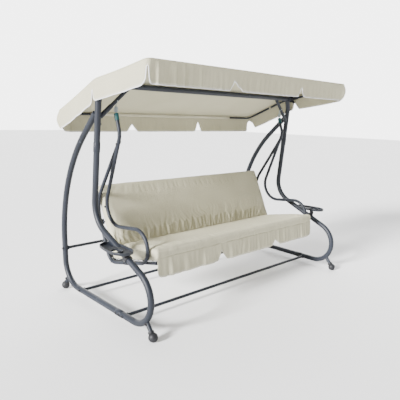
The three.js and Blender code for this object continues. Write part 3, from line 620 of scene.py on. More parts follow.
def collar():
    """The clamp that holds a tray on the front leg."""
    along = Vector((0, 605, 271)).normalized()
    middle = Vector((LEG_X, -273, 432))
    ring = lathe(
        [(20.4, -17), (25, -17), (26, -16), (26, 16), (25, 17), (20.4, 17), (20.4, -17)], middle,
        along, 40,
    )
    lug = plate(
        rounded_loop([(-289, 444), (-259, 444), (-259, 482.7), (-289, 482.7)], 4),
        14,
        lambda y, z, h: (LEG_X + 17 + h, y, z),
    )
    parts = [ring, lug]
    for y in (-283, -265):
        parts += bolt((LEG_X + 31, y, 462), (1, 0, 0), 4.5, 3.5)
    return parts


for label, side in SIDES:
    piece(f"{label}_tray_dish", on_side(side, tray()), TRAY, "stand", [f"{label}_side_tray"])
    piece(
        f"{label}_tray_clamp", on_side(side, collar()), BLACK, "stand",
        [f"{label}_tray_collar"],
    )


# ---------------------------------------------------------------- springs and swing side frames

TUBE_TOP, TUBE_BEND = (HANG_X, 29, 1280), (HANG_X, -13, 1149)
SPRING_TOP, SPRING_BOTTOM = HANG_Z - 6, 1288
JOINT_Y = -86


def seat_line(y):
    return 310 - 0.231 * y


def spring_wire():
    """One wire: a hook over the eye, the coil and a stem into its cap."""
    points = []
    hook_z = HANG_Z - 0.3
    for degrees in range(-20, 201, 12):
        a = math.radians(degrees)
        points.append((HANG_X, HANG_Y + 4.2 * math.cos(a), hook_z + 4.2 * math.sin(a)))
    points.append((HANG_X, HANG_Y - 2.2, hook_z - 5))
    turns, per_turn = 8.5, 26
    steps = int(turns * per_turn)
    height = SPRING_TOP - SPRING_BOTTOM - 3.4
    for k in range(steps + 1):
        a = TAU * k / per_turn
        ease = min(k, steps - k) / per_turn
        radius = 11.2 * min(1, 0.3 + 1.3 * ease)
        z = SPRING_TOP - 1.7 - height * k / steps
        points.append((HANG_X + radius * math.cos(a), HANG_Y + radius * math.sin(a), z))
    points.append((HANG_X, HANG_Y, SPRING_BOTTOM - 3))
    points.append((HANG_X, HANG_Y, SPRING_BOTTOM - 9))
    return sweep(through(points), 1.8, 12, 0.2)


ARMREST = [
    TUBE_TOP, (*TUBE_BEND, 110), (HANG_X, 218, 529, 138), (HANG_X, -302, 589, 118),
    (HANG_X, -311, 384, 88), (HANG_X, JOINT_Y, seat_line(JOINT_Y)),
]
REAR_TUBE = [
    (HANG_X, JOINT_Y, seat_line(JOINT_Y)), (HANG_X, 112.6, seat_line(112.6), 80),
    (HANG_X, 285, 665, 230), (HANG_X, -5, 1113),
]

for label, side in SIDES:
    thing = mesh_object(f"{label}_extension_spring", on_side(side, [spring_wire()]), ZINC, 60)
    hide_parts(f"{label}_spring")
    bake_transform(thing)
    down = (Vector(TUBE_BEND) - Vector(TUBE_TOP)).normalized()
    shell = [
        (0, -3.6), (12, -3.5), (15, -2.2), (15.5, -0.5), (15.5, 4), (14.9, 5), (14.9, 38), (15.5, 39),
        (15.5, 41.4), (14.8, 42), (13.2, 42),
    ]
    piece(
        f"{label}_spring_cap", on_side(side, [lathe(shell, TUBE_TOP, down, 36)]), TEAL,
        "swing", [f"{label}_spring_sleeve"],
    )
    parts = [sweep(bent(ARMREST), SWING_R, 28)]
    parts.append(lathe(
        [(12.7, 0), (14, 0.3), (14.4, 1), (14.4, 49), (14, 49.7), (12.7, 50)],
        (HANG_X, -110.6, seat_line(-110.6)), (0, 0.974, -0.225), 28,
    ))
    coated(f"{label}_armrest_loop", on_side(side, parts), "swing", [f"{label}_armrest_tube"])
    parts = [sweep(bent(REAR_TUBE), SWING_R, 28), weld((HANG_X, 1, 1104), (0, -0.543, 0.84), 12.4)]
    coated(f"{label}_rear_hanger_bar", on_side(side, parts), "swing", [f"{label}_rear_hanger_tube"])
    bolts = []
    for y in (-102, -70):
        bolts += bolt((HANG_X + 13.8, y, seat_line(y)), (1, 0, 0), 5, 4)
    bolts += bolt((HANG_X + 12, 155, 664), (1, 0, 0), 5, 4)
    bolts += bolt((HANG_X + 12, 10, 1092), (1, 0, 0), 5, 4)
    piece(f"{label}_swing_bolts", on_side(side, bolts), BLACK, "swing")


# ---------------------------------------------------------------- seat frame and backrest frame

SEAT_TILT = math.atan(0.231)
SEAT_FRONT, SEAT_REAR, RAIL_X = -362, 79, 823
BACK_ANGLE = math.radians(25.75)
BACK_TUBE = 80.3
PIVOT = (128.08, 324)


def seat_point(x, y, lift=0.0):
    return (x, y + lift * math.sin(SEAT_TILT), seat_line(y) + lift * math.cos(SEAT_TILT))


def back_point(x, up, back):
    s, c = math.sin(BACK_ANGLE), math.cos(BACK_ANGLE)
    return (x, 78 + up * s + back * c, 405 + up * c - back * s)


def wire_panel(place, half, low, high, pitch, near, far):
    """Welded wires: the long ones on top of the short ones, both 3 mm thick."""
    parts = []
    count = int((high - low) / pitch)
    for k in range(count + 1):
        up = low + (high - low) * k / count
        parts.append(rod(place(-half, up, near), place(half, up, near), 1.5, 10, 0.3))
    count = int(2 * half / pitch)
    for k in range(count + 1):
        x = -half + 2 * half * k / count
        parts.append(rod(place(x, low, far), place(x, high, far), 1.5, 10, 0.3))
    return parts


for label, side in SIDES:
    rail = sweep(bent([seat_point(RAIL_X, SEAT_FRONT - 8), seat_point(RAIL_X, SEAT_REAR + 56)]), 10, 24, 1)
    coated(f"{label}_side_rail", on_side(side, [rail]), "swing", [f"{label}_seat_side_rail"])
    tongue = [
        (PIVOT[0] + 17 * math.cos(math.radians(a)), PIVOT[1] + 17 * math.sin(math.radians(a)))
        for a in range(-20, 201, 10)
    ]
    tongue += [(PIVOT[0] - 40, seat_line(PIVOT[0] - 40) - 8), (PIVOT[0] + 2, seat_line(PIVOT[0]) - 8)]
    bracket = plate(tongue, 4.5, lambda y, z, h: (808 + h, y, z), 0.6)
    coated(f"{label}_hinge_plate", on_side(side, [bracket]), "swing", [f"{label}_hinge_bracket"])
    stud = Vector(back_point(0, 190, BACK_TUBE))
    out = Vector((0, math.cos(BACK_ANGLE), -math.sin(BACK_ANGLE)))
    up = Vector((0, math.sin(BACK_ANGLE), math.cos(BACK_ANGLE)))
    shape = [(-24, -18), (34, -18), (42, -10), (2, -8), (-10, 0), (2, 8), (42, 10), (34, 18), (-24, 18)]
    shape = [(stud.y + a * out.y + b * up.y, stud.z + a * out.z + b * up.z) for a, b in shape]
    catch = plate(rounded_loop(shape, 3, 3), 4.5, lambda y, z, h: (828.7 + h, y, z), 0.6)
    coated(f"{label}_rest_catch", on_side(side, [catch]), "swing", [f"{label}_rest_bracket"])
    screw = rod((779, *PIVOT), (822, *PIVOT), 5, 20, 0.8)
    star = [(0, 0), (11, 0), (13, 1.2), (13.3, 4), (13.3, 12), (12.4, 14.6), (10, 16), (5, 15.4), (0, 15.2)]
    knob = lathe(star, (813, *PIVOT), (1, 0, 0), 60, 5, 0.13)
    piece(
        f"{label}_star_knob", on_side(side, [screw, knob]), BLACK,
        f"{label}_recline_knob_body", [f"{label}_recline_knob"],
    )

for name, y in (("seat_front_rail", SEAT_FRONT), ("seat_rear_rail", SEAT_REAR)):
    parts = [sweep(bent([seat_point(-813, y), seat_point(813, y)]), 10, 24, 0.5)]
    parts += [weld(seat_point(side * 811, y), (1, 0, 0), 10.4) for side in (-1, 1)]
    coated(f"{name}_tube", parts, "swing", [name])
piece(
    "seat_wires", wire_panel(seat_point, 817, SEAT_FRONT - 3, SEAT_REAR + 7, 50, 13.0, 11.8), COAT,
    "swing", ["seat_mesh"],
)

PIVOT_UP = (PIVOT[1] - back_point(0, 0, BACK_TUBE)[2]) / math.cos(BACK_ANGLE)
hoop = [
    back_point(-797, PIVOT_UP - 14, BACK_TUBE), (*back_point(-797, 372, BACK_TUBE), 60),
    (*back_point(797, 372, BACK_TUBE), 60), back_point(797, PIVOT_UP - 14, BACK_TUBE),
]
parts = [sweep(bent(hoop), 10, 24)]
for side in (-1, 1):
    parts.append(rod(back_point(side * 797, 190, BACK_TUBE), back_point(side * 832, 190, BACK_TUBE), 5, 18))
    parts.append(rod(back_point(side * 797, 120, BACK_TUBE), back_point(0, 120, BACK_TUBE), 7, 18))
coated("backrest_hoop", parts, "backrest", ["backrest_frame"])
piece(
    "backrest_wires", wire_panel(back_point, 799, 8, 374, 50, 67.6, 68.8), COAT,
    "backrest", ["backrest_mesh"],
)


# ---------------------------------------------------------------- canopy frame

ROOF = {"front": -500, "front_z": 1566, "ridge": 16, "ridge_z": 1484, "rear": 514, "rear_z": 1284}
HEM = {"front": -488, "front_z": 1438, "ridge_z": 1357, "rear": 488, "rear_z": 1164}
ROOF_HALF, BOW_X, BOW_R = 1001, 976, 8
KNOB_ANGLE = math.radians(42)


def plane_z(y):
    """The roof's two planes, without sag."""
    if y < ROOF["ridge"]:
        return (
            ROOF["ridge_z"]
            + (ROOF["front_z"] - ROOF["ridge_z"]) * (ROOF["ridge"] - y) / (ROOF["ridge"] - ROOF["front"])
        )
    return (
        ROOF["ridge_z"]
        - (ROOF["ridge_z"] - ROOF["rear_z"]) * (y - ROOF["ridge"]) / (ROOF["rear"] - ROOF["ridge"])
    )


def edge_rail(end):
    y = ROOF["front"] + 15 if end < 0 else ROOF["rear"] - 19
    return y, plane_z(y) - (12.5 if end < 0 else 19)


def bow_start(end):
    return Vector((BOW_X, BAR_Y + end * 30, BAR_Z + 3))


def knob_point(distance):
    return Vector((BOW_X, BAR_Y - distance * math.cos(KNOB_ANGLE), BAR_Z - distance * math.sin(KNOB_ANGLE)))


for word, end in (("front", -1), ("rear", 1)):
    y, z = edge_rail(end)
    start = bow_start(end)
    corners = [(-start.x, start.y, start.z), (-BOW_X, y, z, 45), (BOW_X, y, z, 45), start[:]]
    coated(f"canopy_{word}_rail", [sweep(bent(corners), BOW_R, 24)], "canopy", [f"canopy_{word}_bow"])

for label, side in SIDES:
    hub = [(19.6, 962), (24, 962), (26, 963.5), (26, 981), (24.6, 983), (19.6, 983.2), (19.6, 962)]
    parts = [lathe([(r, x - 962) for r, x in hub], (962, BAR_Y, BAR_Z), (1, 0, 0), 48)]
    for end in (-1, 1):
        y, z = edge_rail(end)
        along = (Vector((BOW_X, y, z)) - bow_start(end)).normalized()
        socket = [(0, -10), (10, -10), (11.5, -6), (11.5, 34), (12.2, 35), (12.2, 39), (11.4, 40), (8.4, 40)]
        parts.append(lathe(socket, bow_start(end), along, 32))
    parts.append(lathe(
        [(0, 0), (9.5, 0), (9, 11), (8, 12.6), (4.4, 13)], knob_point(22),
        knob_point(1) - knob_point(0), 32,
    ))
    piece(
        f"{label}_canopy_hub", on_side(side, parts), BLACK, "canopy",
        [f"{label}_canopy_bracket"],
    )
    along = knob_point(1) - knob_point(0)
    parts = [rod(knob_point(20.5)[:], knob_point(38)[:], 4, 16)]
    parts.append(lathe([(0, 0), (7, 0), (8, 1), (8, 13), (6.6, 15.4), (0, 16)], knob_point(36), along, 32))
    middle = knob_point(43)
    for way in (-1, 1):
        tip = middle + Vector((way * 15.5, 0, 0)) + along * 2
        parts.append(sweep(bent([middle[:], tip[:]]), 4.6, 18, 2.2, lambda s: 0.8 + 0.25 * s))
    piece(
        f"{label}_wing_knob", on_side(side, parts), BLACK,
        f"{label}_canopy_knob_body", [f"{label}_canopy_knob"],
    )


# ---------------------------------------------------------------- canopy cover

CORNER = 34  # plan radius of the cover's corners
NX, NY, NV = 236, 118, 16  # cells along, across and down the valance
FRONT_NOTCHES = ((-355, -331, -243, 58), (358, 388, 434, 66))
REAR_NOTCHES = ((-453, -397, -360, 58), (258, 302, 330, 88))
LEFT_SLIT = (44, 9, 74, 34)  # middle, half width, height, tab radius
RIGHT_NOTCH = (-65, -8, 0, 70)
OPEN_CORNER = (-82, -2, 50, 98)  # the rear right corner's notch, measured along the edge
CORNER_SLIT = (10, 90, 38)


def hem_z(y):
    if y < ROOF["ridge"]:
        share = (ROOF["ridge"] - y) / (ROOF["ridge"] - HEM["front"])
        return HEM["ridge_z"] + (HEM["front_z"] - HEM["ridge_z"]) * share
    return (
        HEM["ridge_z"]
        - (HEM["ridge_z"] - HEM["rear_z"]) * (y - ROOF["ridge"]) / (HEM["rear"] - ROOF["ridge"])
    )


def roof_point(u, v):
    """A point of the roof for u and v from -1 to 1. The squares u, v = constant become rounded rectangles."""
    m = max(abs(u), abs(v))
    middle = (ROOF["front"] + ROOF["rear"]) / 2
    deep = (ROOF["rear"] - ROOF["front"]) / 2
    if m < 1e-6:
        return Vector((0, middle))
    x, y = ROOF_HALF * u / m, deep * v / m
    dx, dy = abs(x) - (ROOF_HALF - CORNER), abs(y) - (deep - CORNER)
    if dx > 0 and dy > 0:
        length = math.hypot(dx, dy)
        x = math.copysign(ROOF_HALF - CORNER + CORNER * dx / length, x)
        y = math.copysign(deep - CORNER + CORNER * dy / length, y)
    return Vector((x * m, middle + y * m))


def roof_height(x, y):
    """Planes softened at the ridge, sagging a little between the rails."""
    d = y - ROOF["ridge"]
    z = plane_z(y) - 0.28 * (math.sqrt(d * d + 14 * 14) - abs(d))
    bay = (d / (ROOF["front"] - ROOF["ridge"])) if d < 0 else d / (ROOF["rear"] - ROOF["ridge"])
    side = 1 - min(abs(x) / ROOF_HALF, 1) ** 6
    z -= 15 * math.sin(math.pi * min(bay, 1)) * (0.3 + 0.7 * side)
    z += 2.0 * noise.noise(Vector((x / 210, y / 120, 3))) * side * math.sin(math.pi * min(bay, 1))
    return z


def lift_of(value, notch):
    """How far a hem is cut up at one place, with softly rounded tab corners."""
    start, apex, end, height = notch
    share = (value - start) / (apex - start) if value < apex else (end - value) / (end - apex)
    v = height * share
    return 0.5 * (v + math.sqrt(v * v + 49)) if share > -0.6 else 0.0


def slit(value, half, height, radius):
    """How far the hem is cut up by a slit between two tabs with round lower corners."""
    away = abs(value)
    if away <= half:
        return height
    if away >= half + radius:
        return 0.0
    inside = (half + radius - away) / radius
    return radius * (1 - math.sqrt(max(0.0, 1 - inside * inside)))


def fold(s, wave, seed):
    bend = 1.4 * math.sin(TAU * s / (3.7 * wave) + seed)
    return math.sin(TAU * s / wave + bend + seed) + 0.35 * math.sin(TAU * s / (0.41 * wave) + 2 * seed)


def valance_fold(place, s, share):
    """Outward shift of the valance, growing towards the hem."""
    x, y = place
    if y < ROOF["front"] + 3:
        left = min(max((-420 - x) / 330, 0), 1)
        strong = 10.5 * left * share ** 0.75 * fold(s, 76, 0.4)
        fine = (4.4 - 2.0 * left) * share ** 1.5 * fold(s, 56, 2.2)
        return strong + fine + 17 * math.sin(math.pi * min(share, 1)) * max(0.0, x / ROOF_HALF) ** 14
    if y > ROOF["rear"] - 3:
        return (
            4.5 * share ** 1.2 * fold(s, 96, 1.1)
            + 20 * math.sin(math.pi * min(share, 1)) * abs(x / ROOF_HALF) ** 10
        )
    near_rear = max(0.0, (y - 330) / 184)
    bulge = 26 * math.sin(math.pi * min(share, 1)) * near_rear ** 2
    if x > 0:
        bulge += 20 * math.sin(math.pi * min(share, 1)) * max(0.0, (-330 - y) / 170) ** 2
    return 2.4 * share ** 1.3 * fold(s, 163, 0.2) + 0.5 * share * fold(s, 57, 0.9) + bulge


def cover_parts():
    """Vertices, faces and map of the sewn cover, and its edge and hem lines."""
    index, verts, uvs = {}, [], []
    for j in range(NY + 1):
        for i in range(NX + 1):
            p = roof_point(2 * i / NX - 1, 2 * j / NY - 1)
            index[i, j] = len(verts)
            verts.append(Vector((p.x, p.y, roof_height(p.x, p.y))))
            uvs.append((p.x * MM, 5 + p.y * MM))
    faces = []
    for j in range(NY):
        for i in range(NX):
            faces.append((index[i, j], index[i + 1, j], index[i + 1, j + 1], index[i, j + 1]))
    ring = [(i, 0) for i in range(NX)] + [(NX, j) for j in range(NY)]
    ring += [(i, NY) for i in range(NX, 0, -1)] + [(0, j) for j in range(NY, 0, -1)]
    tops = [index[key] for key in ring]
    n = len(tops)
    lengths = [0.0]
    for k in range(1, n + 1):
        lengths.append(lengths[-1] + (verts[tops[k % n]] - verts[tops[k - 1]]).length)
    rows = [tops]
    edge = [verts[i].copy() for i in tops]
    depths, outs = [], []
    corner_s = [(lengths[ring.index(key)], CORNER_SLIT[0]) for key in ((0, 0), (NX, 0), (0, NY))]
    open_corner = lengths[ring.index((NX, NY))]
    for k in range(n):
        p = edge[k]
        tangent = (edge[(k + 1) % n] - edge[k - 1]).normalized()
        out = Vector((tangent.y, -tangent.x, 0)).normalized()
        outs.append(out)
        depth = plane_z(p.y) - hem_z(min(max(p.y, HEM["front"]), HEM["rear"]))
        depth += 15 * max(0.0, out.y)
        cut = 0.0
        if out.y < -0.9:
            cut = max(lift_of(p.x, notch) for notch in FRONT_NOTCHES)
        elif out.y > 0.9:
            cut = max(lift_of(p.x, notch) for notch in REAR_NOTCHES)
        elif abs(out.x) > 0.9:
            cut = lift_of(p.y, RIGHT_NOTCH) if out.x > 0 else slit(p.y - LEFT_SLIT[0], *LEFT_SLIT[1:])
        s = lengths[k]
        for corner, half in corner_s:
            apart = min(abs(s - corner), abs(s - corner + lengths[n]), abs(s - corner - lengths[n]))
            cut = max(cut, slit(apart, half, *CORNER_SLIT[1:]))
        cut = max(cut, lift_of(s - open_corner, OPEN_CORNER))
        cut = cut if cut > 0.4 else 0.0
        depths.append(depth - cut)
    lean_front, lean_rear = HEM["front"] - ROOF["front"], ROOF["rear"] - HEM["rear"]
    for row in range(1, NV + 1):
        t = row / NV
        line = []
        for k in range(n):
            p, out = edge[k], outs[k]
            down = depths[k] * t
            full = down / 127
            lean = (lean_front if out.y < 0 else lean_rear) * abs(out.y) * full
            shift = valance_fold((p.x, p.y), lengths[k], full) - lean + 2.5 * math.sin(math.pi * min(full, 1))
            line.append(len(verts))
            verts.append(Vector((p.x + out.x * shift, p.y + out.y * shift, p.z - down)))
            uvs.append((lengths[k] * MM, (depths[k] - down) * MM))
        rows.append(line)
    for upper, lower in zip(rows, rows[1:]):
        for k in range(n):
            m = (k + 1) % n
            faces.append((upper[k], lower[k], lower[m], upper[m]))
    hem = [verts[i].copy() for i in rows[-1]]
    return verts, faces, uvs, edge, hem


def cord_loop(points, radius, sides=8):
    points = points + [points[0]]
    return sweep(through([p[:] for p in points]), radius, sides, 0.1)


cover_verts, cover_faces, cover_uvs, cover_edge, cover_hem = cover_parts()
cover = mesh_object("canopy_cloth", [(cover_verts, cover_faces)], CANOPY_CLOTH, 75, cover_uvs)
solid = cover.modifiers.new("thickness", "SOLIDIFY")
solid.thickness = 0.0012
solid.offset = -1
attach(cover, "canopy")
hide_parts("canopy_cover")

seams = [cord_loop([p + Vector((0, 0, 0.6)) for p in cover_edge], 1.7)]
ridge = [(x, ROOF["ridge"], roof_height(x, ROOF["ridge"]) + 0.3) for x in range(-990, 991, 20)]
seams.append(sweep(through(ridge), 1.4, 8, 0.3))
seam = piece("canopy_seams", seams, PIPING, "canopy")
# The hem cord's shape is the rolled hem, and its near-white colour is a painted highlight.
hem = piece("canopy_hem", [cord_loop(cover_hem, 2.4)], HEM_EDGE_HIGHLIGHT, "canopy")


def pocket(end, x0, x1):
    """The cloth tube that holds a bow's cross rail, sewn up to the cover."""
    y, z = edge_rail(end)
    verts, faces = [], []
    steps, sides = 90, 18
    for n in range(steps + 1):
        x = x0 + (x1 - x0) * n / steps
        for k in range(sides):
            a = TAU * k / sides
            r = 10.2 + 0.7 * math.sin(x / 23 + 3 * a) + 0.5 * math.sin(x / 9 + a)
            tall = 5 if math.sin(a) > 0.8 else 0
            verts.append(Vector((x, y + r * math.cos(a), z + r * math.sin(a) + tall)))
    for n in range(steps):
        for k in range(sides):
            a, b = n * sides + k, n * sides + (k + 1) % sides
            faces.append((a, b, b + sides, a + sides))
    return verts, faces


def strap(x, y):
    """A short cloth loop round a side rail."""
    front = y < BAR_Y
    ry, rz = edge_rail(-1 if front else 1)
    start = bow_start(-1 if front else 1)
    z = start.z + (rz - start.z) * (y - start.y) / (ry - start.y)
    verts, faces = [], []
    sides = 24
    for k in range(sides):
        a = TAU * k / sides
        for width in (-9, 9):
            r = 9.6 + (5 if math.sin(a) > 0.6 else 0)
            for extra in (0, 1.1):
                verts.append(Vector((
                    x + (r + extra) * math.cos(a), y + width, z + (r + extra) * math.sin(a),
                )))
    for k in range(sides):
        a, b = 4 * k, 4 * ((k + 1) % sides)
        faces += [
            (a, b, b + 2, a + 2), (a + 1, a + 3, b + 3, b + 1), (a, a + 1, b + 1, b),
            (a + 2, b + 2, b + 3, a + 3),
        ]
    return verts, faces


for name, parts in (
    ("rear_rail_pocket", [pocket(1, -762, 692)]),
    ("front_rail_pocket", [pocket(-1, -762, 762)]),
    ("side_straps", [strap(side * BOW_X, y) for side in (-1, 1) for y in (-230, 235)]),
):
    thing = piece(name, parts, PIPING, "canopy", (), 60)
    if "pocket" in name:
        skin = thing.modifiers.new("thickness", "SOLIDIFY")
        skin.thickness = 0.001


# ---------------------------------------------------------------- cushions


def remeshed(name, node, voxel, inset):
    """A copy of a CAD block as an even mesh, drawn in by inset."""
    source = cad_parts[node]
    low, high = (Vector(c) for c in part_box(node))
    middle = (low + high) / 2
    data = source.data.copy()
    data.transform(source.matrix_world)
    data.materials.clear()
    half = (high - low) / 2
    for vertex in data.vertices:
        offset = vertex.co - middle
        vertex.co = middle + Vector(offset[i] * (1 - inset / half[i]) for i in range(3))
    thing = bpy.data.objects.new(name, data)
    bpy.context.scene.collection.objects.link(thing)
    remesh = thing.modifiers.new("even", "REMESH")
    remesh.mode = "VOXEL"
    remesh.voxel_size = voxel
    return settled(thing)


def settled(thing):
    """thing with its modifiers made part of its mesh."""
    tree = bpy.context.evaluated_depsgraph_get()
    data = bpy.data.meshes.new_from_object(thing.evaluated_get(tree), depsgraph=tree)
    thing.modifiers.clear()
    thing.data = data
    return thing


def inflate(thing, local, spans, reaches, limit, growth, share):
    """A short cloth run: a cover cut a little large, held along its seams and pressed from inside."""
    rest = [v.co.copy() for v in thing.data.vertices]
    seams = thing.vertex_groups.new(name="seams")
    held = []
    for index, place in enumerate(rest):
        p = local(place)
        near = [
            min(abs(value - low), abs(high - value)) < reach
            for value, (low, high), reach in zip(p, spans, reaches)
        ]
        if sum(near) >= 2:
            held.append(index)
    seams.add(held, 1.0, "REPLACE")
    cloth = thing.modifiers.new("cloth", "CLOTH")
    cloth.settings.quality = 4
    cloth.settings.mass = 0.25
    cloth.settings.tension_stiffness = 18
    cloth.settings.bending_stiffness = 0.3
    cloth.settings.vertex_group_mass = "seams"
    cloth.settings.use_pressure = True
    cloth.settings.uniform_pressure_force = 4
    cloth.settings.shrink_min = -growth
    cloth.settings.effector_weights.gravity = 0
    cloth.collision_settings.use_collision = False
    cloth.point_cache.frame_start = 1
    cloth.point_cache.frame_end = 20
    scene = bpy.context.scene
    for number in range(1, 19):
        scene.frame_set(number)
    settled(thing)
    scene.frame_set(1)
    for vertex, start in zip(thing.data.vertices, rest):
        move = vertex.co - start
        if move.length > limit:
            move *= limit / move.length
        vertex.co = start + move * share(start)
    return thing


def stretch(thing, local, back, spans):
    """Scales a cushion in its own axes so that it fills spans: (low, high) along each axis."""
    places = [local(v.co) for v in thing.data.vertices]
    for axis, (low, high) in enumerate(spans):
        values = [p[axis] for p in places]
        least, most = min(values), max(values)
        for p in places:
            p[axis] = low + (p[axis] - least) * (high - low) / (most - least)
    for vertex, p in zip(thing.data.vertices, places):
        vertex.co = back(p)


def soft_block(name, node, own, reaches, bulge, share, wrinkle):
    """An upholstered cushion. own is (to its own axes, from them, its spans); reaches say how near a
    side counts as its seam; bulge is how far past its spans it may press; share(point) is how
    much of the cloth run it keeps; wrinkle(point) adds fine creases."""
    thing = remeshed(name, node, 0.0085, 0.006)
    smooth = thing.modifiers.new("soft", "SMOOTH")
    smooth.factor = 0.5
    smooth.iterations = 3
    settled(thing)
    local, back, spans = own
    stretch(thing, *own)
    inflate(thing, local, spans, reaches, 0.022, 0.04, share)
    fine = thing.modifiers.new("fine", "SUBSURF")
    fine.levels = fine.render_levels = 1
    settled(thing)
    normals = [v.normal.copy() for v in thing.data.vertices]
    for vertex, normal in zip(thing.data.vertices, normals):
        vertex.co += normal * wrinkle(vertex.co)
        p = local(vertex.co)
        for axis in range(3):
            low, high = spans[axis][0] - bulge[axis][0], spans[axis][1] + bulge[axis][1]
            p[axis] = min(max(p[axis], low), high)
        vertex.co = back(p)
    thing.data.shade_smooth()
    thing.data.materials.append(PAD_CLOTH)
    return thing


SEAT_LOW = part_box("seat_cushion")[0]


def seat_local(p):
    """Along the bench, front to rear, and the height above the seat's wires as a share of the pad's."""
    floor = (seat_line(p.y / MM) + 15.9) * MM
    top = (485 - 0.205 * (p.y / MM + 372)) * MM
    return [p.x, p.y, (p.z - floor) / (top - floor)]


def seat_world(p):
    floor = (seat_line(p[1] / MM) + 15.9) * MM
    top = (485 - 0.205 * (p[1] / MM + 372)) * MM
    return Vector((p[0], p[1], floor + p[2] * (top - floor)))


SEAT_SPANS = ((-0.8285, 0.8285), (-0.3765, 0.112), (0.0, 1.08))
SEAT_BULGE = ((0.002, 0.002), (0.006, 0.0), (0.0, 0.10))
BACK_SPANS = ((-0.012, 0.437), (-0.004, 0.0652), (-0.8262, 0.8262))
BACK_BULGE = ((0.0, 0.006), (0.016, 0.0), (0.002, 0.002))


def seat_wrinkle(p):
    near_front = max(0.0, 1 - (p.y - SEAT_LOW[1]) / 0.16)
    wave = noise.noise(Vector((p.x * 15, p.y * 5, p.z * 9)))
    fine = noise.noise(Vector((p.x * 46, p.y * 11, p.z * 14)))
    return 0.0018 * wave + 0.0010 * fine * (0.4 + near_front)


def back_local(p):
    s, c = math.sin(BACK_ANGLE), math.cos(BACK_ANGLE)
    dy, dz = p.y - 0.078, p.z - 0.405
    return [dy * s + dz * c, dy * c - dz * s, p.x]


def back_world(p):
    return Vector(back_point(p[2] / MM, p[0] / MM, p[1] / MM)) * MM


def back_share(p):
    """How much of the cloth run's bulge the back keeps, less towards its top."""
    rise = min(max((back_local(p)[0] - 0.10) / 0.16, 0.0), 1.0)
    return 0.85 - 0.6 * rise * rise * (3 - 2 * rise)


def back_wrinkle(p):
    """Creases of the back cushion, strongest along its foot."""
    up, back = back_local(p)[:2]
    low = max(0.0, 1 - up / 0.20) ** 0.8
    bend = 1.6 * noise.noise(Vector((p.x * 6, up * 9, 2)))
    wave = noise.noise(Vector((p.x * 34 + bend, up * 5, back * 6)))
    crease = 1 - abs(noise.noise(Vector((p.x * 24 + bend, up * 3.5, 9)))) * 3.2
    broad = noise.noise(Vector((p.x * 5, up * 6, 4)))
    return 0.0030 * wave * low - 0.0028 * max(0.0, crease) * low + 0.0030 * broad


seat_own = (seat_local, seat_world, SEAT_SPANS)
seat_pad = soft_block(
    "seat_pad", "seat_cushion", seat_own, (0.014, 0.016, 0.16), SEAT_BULGE, lambda p: 0.55,
    seat_wrinkle,
)
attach(seat_pad, "swing")
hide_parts("seat_cushion")
back_own = (back_local, back_world, BACK_SPANS)
back_pad = soft_block(
    "back_pad", "back_cushion", back_own, (0.016, 0.014, 0.014), BACK_BULGE, back_share, back_wrinkle,
)
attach(back_pad, "backrest")
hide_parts("back_cushion")


def surface_line(pad, points, toward):
    """Points dropped on a cushion along a direction, so that a seam lies on its cover."""
    result = []
    for p in points:
        p, way = Vector(p) * MM, Vector(toward(p)).normalized()
        hit, place = pad.ray_cast(pad.matrix_world.inverted() @ (p - way * 0.08), way)[:2]
        result.append((place if hit else p) / MM)
    return result


def seat_top(y):
    """Height of the seat cushion's top face."""
    return 485 - 0.205 * (y + 372)


spans = [-815 + 1630 * k / 160 for k in range(161)]
front_edge = surface_line(seat_pad, [(x, -370, seat_top(-370) - 3) for x in spans], lambda p: (0, 1, -1))
cords = [sweep(through([p[:] for p in front_edge]), 2.0, 10)]
rear_edge = surface_line(seat_pad, [(x, -368, 403) for x in spans], lambda p: (0, 1, 0.35))
cords.append(sweep(through([p[:] for p in rear_edge]), 1.8, 10))
piece("seat_pad_piping", cords, PIPING, "swing")
cords = []
for up, tip in ((424, (0, 0.2, -1)), (3, (0, 0.4, 1))):
    line = surface_line(back_pad, [back_point(x, up, 8) for x in spans], lambda p, tip=tip: tip)
    cords.append(sweep(through([p[:] for p in line]), 1.8, 10))
piece("back_pad_piping", cords, PIPING, "backrest")


# ---------------------------------------------------------------- front skirt

SKIRT_NOTCHES = ((-301, -266, -211, 72), (293, 333, 396, 44))


def skirt_parts():
    """The gathered skirt and the points along its hem."""
    columns, rows = 412, 16
    top, bottom, half = 428, 304, 824
    verts, uvs, faces, hem = [], [], [], []
    for i in range(columns + 1):
        x = -half + 2 * half * i / columns
        cut = max(lift_of(x, notch) for notch in SKIRT_NOTCHES)
        depth = top - bottom - (cut if cut > 0.4 else 0)
        strong = 0.8 + 0.9 * noise.noise(Vector((x / 160, 2, 8)))
        depth -= slit(half - abs(x), 0, 40, 40)
        for j in range(rows + 1):
            down = depth * j / rows
            share = down / 124
            y = -374.5 - 8 * share - 0.8
            gather = 8.5 * strong * noise.noise(Vector((x / 26, 5, share * 0.7)))
            gather += 6.0 * noise.noise(Vector((x / 61, 9, share * 0.5)))
            y += gather * (0.10 + 0.90 * share ** 0.8) - 1.5 * share
            sway = 1.6 * share * math.sin(x / 17 + 1.2)
            verts.append(Vector((x + sway * (1 - abs(x / half)), y, top - down)))
            uvs.append((x * MM, (depth - down) * MM))
        hem.append(verts[-1].copy())
    for i in range(columns):
        for j in range(rows):
            a = i * (rows + 1) + j
            faces.append((a, a + 1, a + rows + 2, a + rows + 1))
    return verts, faces, uvs, hem


skirt_verts, skirt_faces, skirt_uvs, skirt_hem = skirt_parts()
skirt = mesh_object("skirt_cloth", [(skirt_verts, skirt_faces)], CANOPY_CLOTH, 75, skirt_uvs)
skin = skirt.modifiers.new("thickness", "SOLIDIFY")
skin.thickness = 0.0012
skin.offset = 0
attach(skirt, "swing")
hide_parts("front_skirt")
skirt_edge = piece(
    "skirt_hem", [sweep(through([p[:] for p in skirt_hem]), 1.1, 8, 0.2)], PIPING,
    "swing",
)


# ---------------------------------------------------------------- floor, light, camera

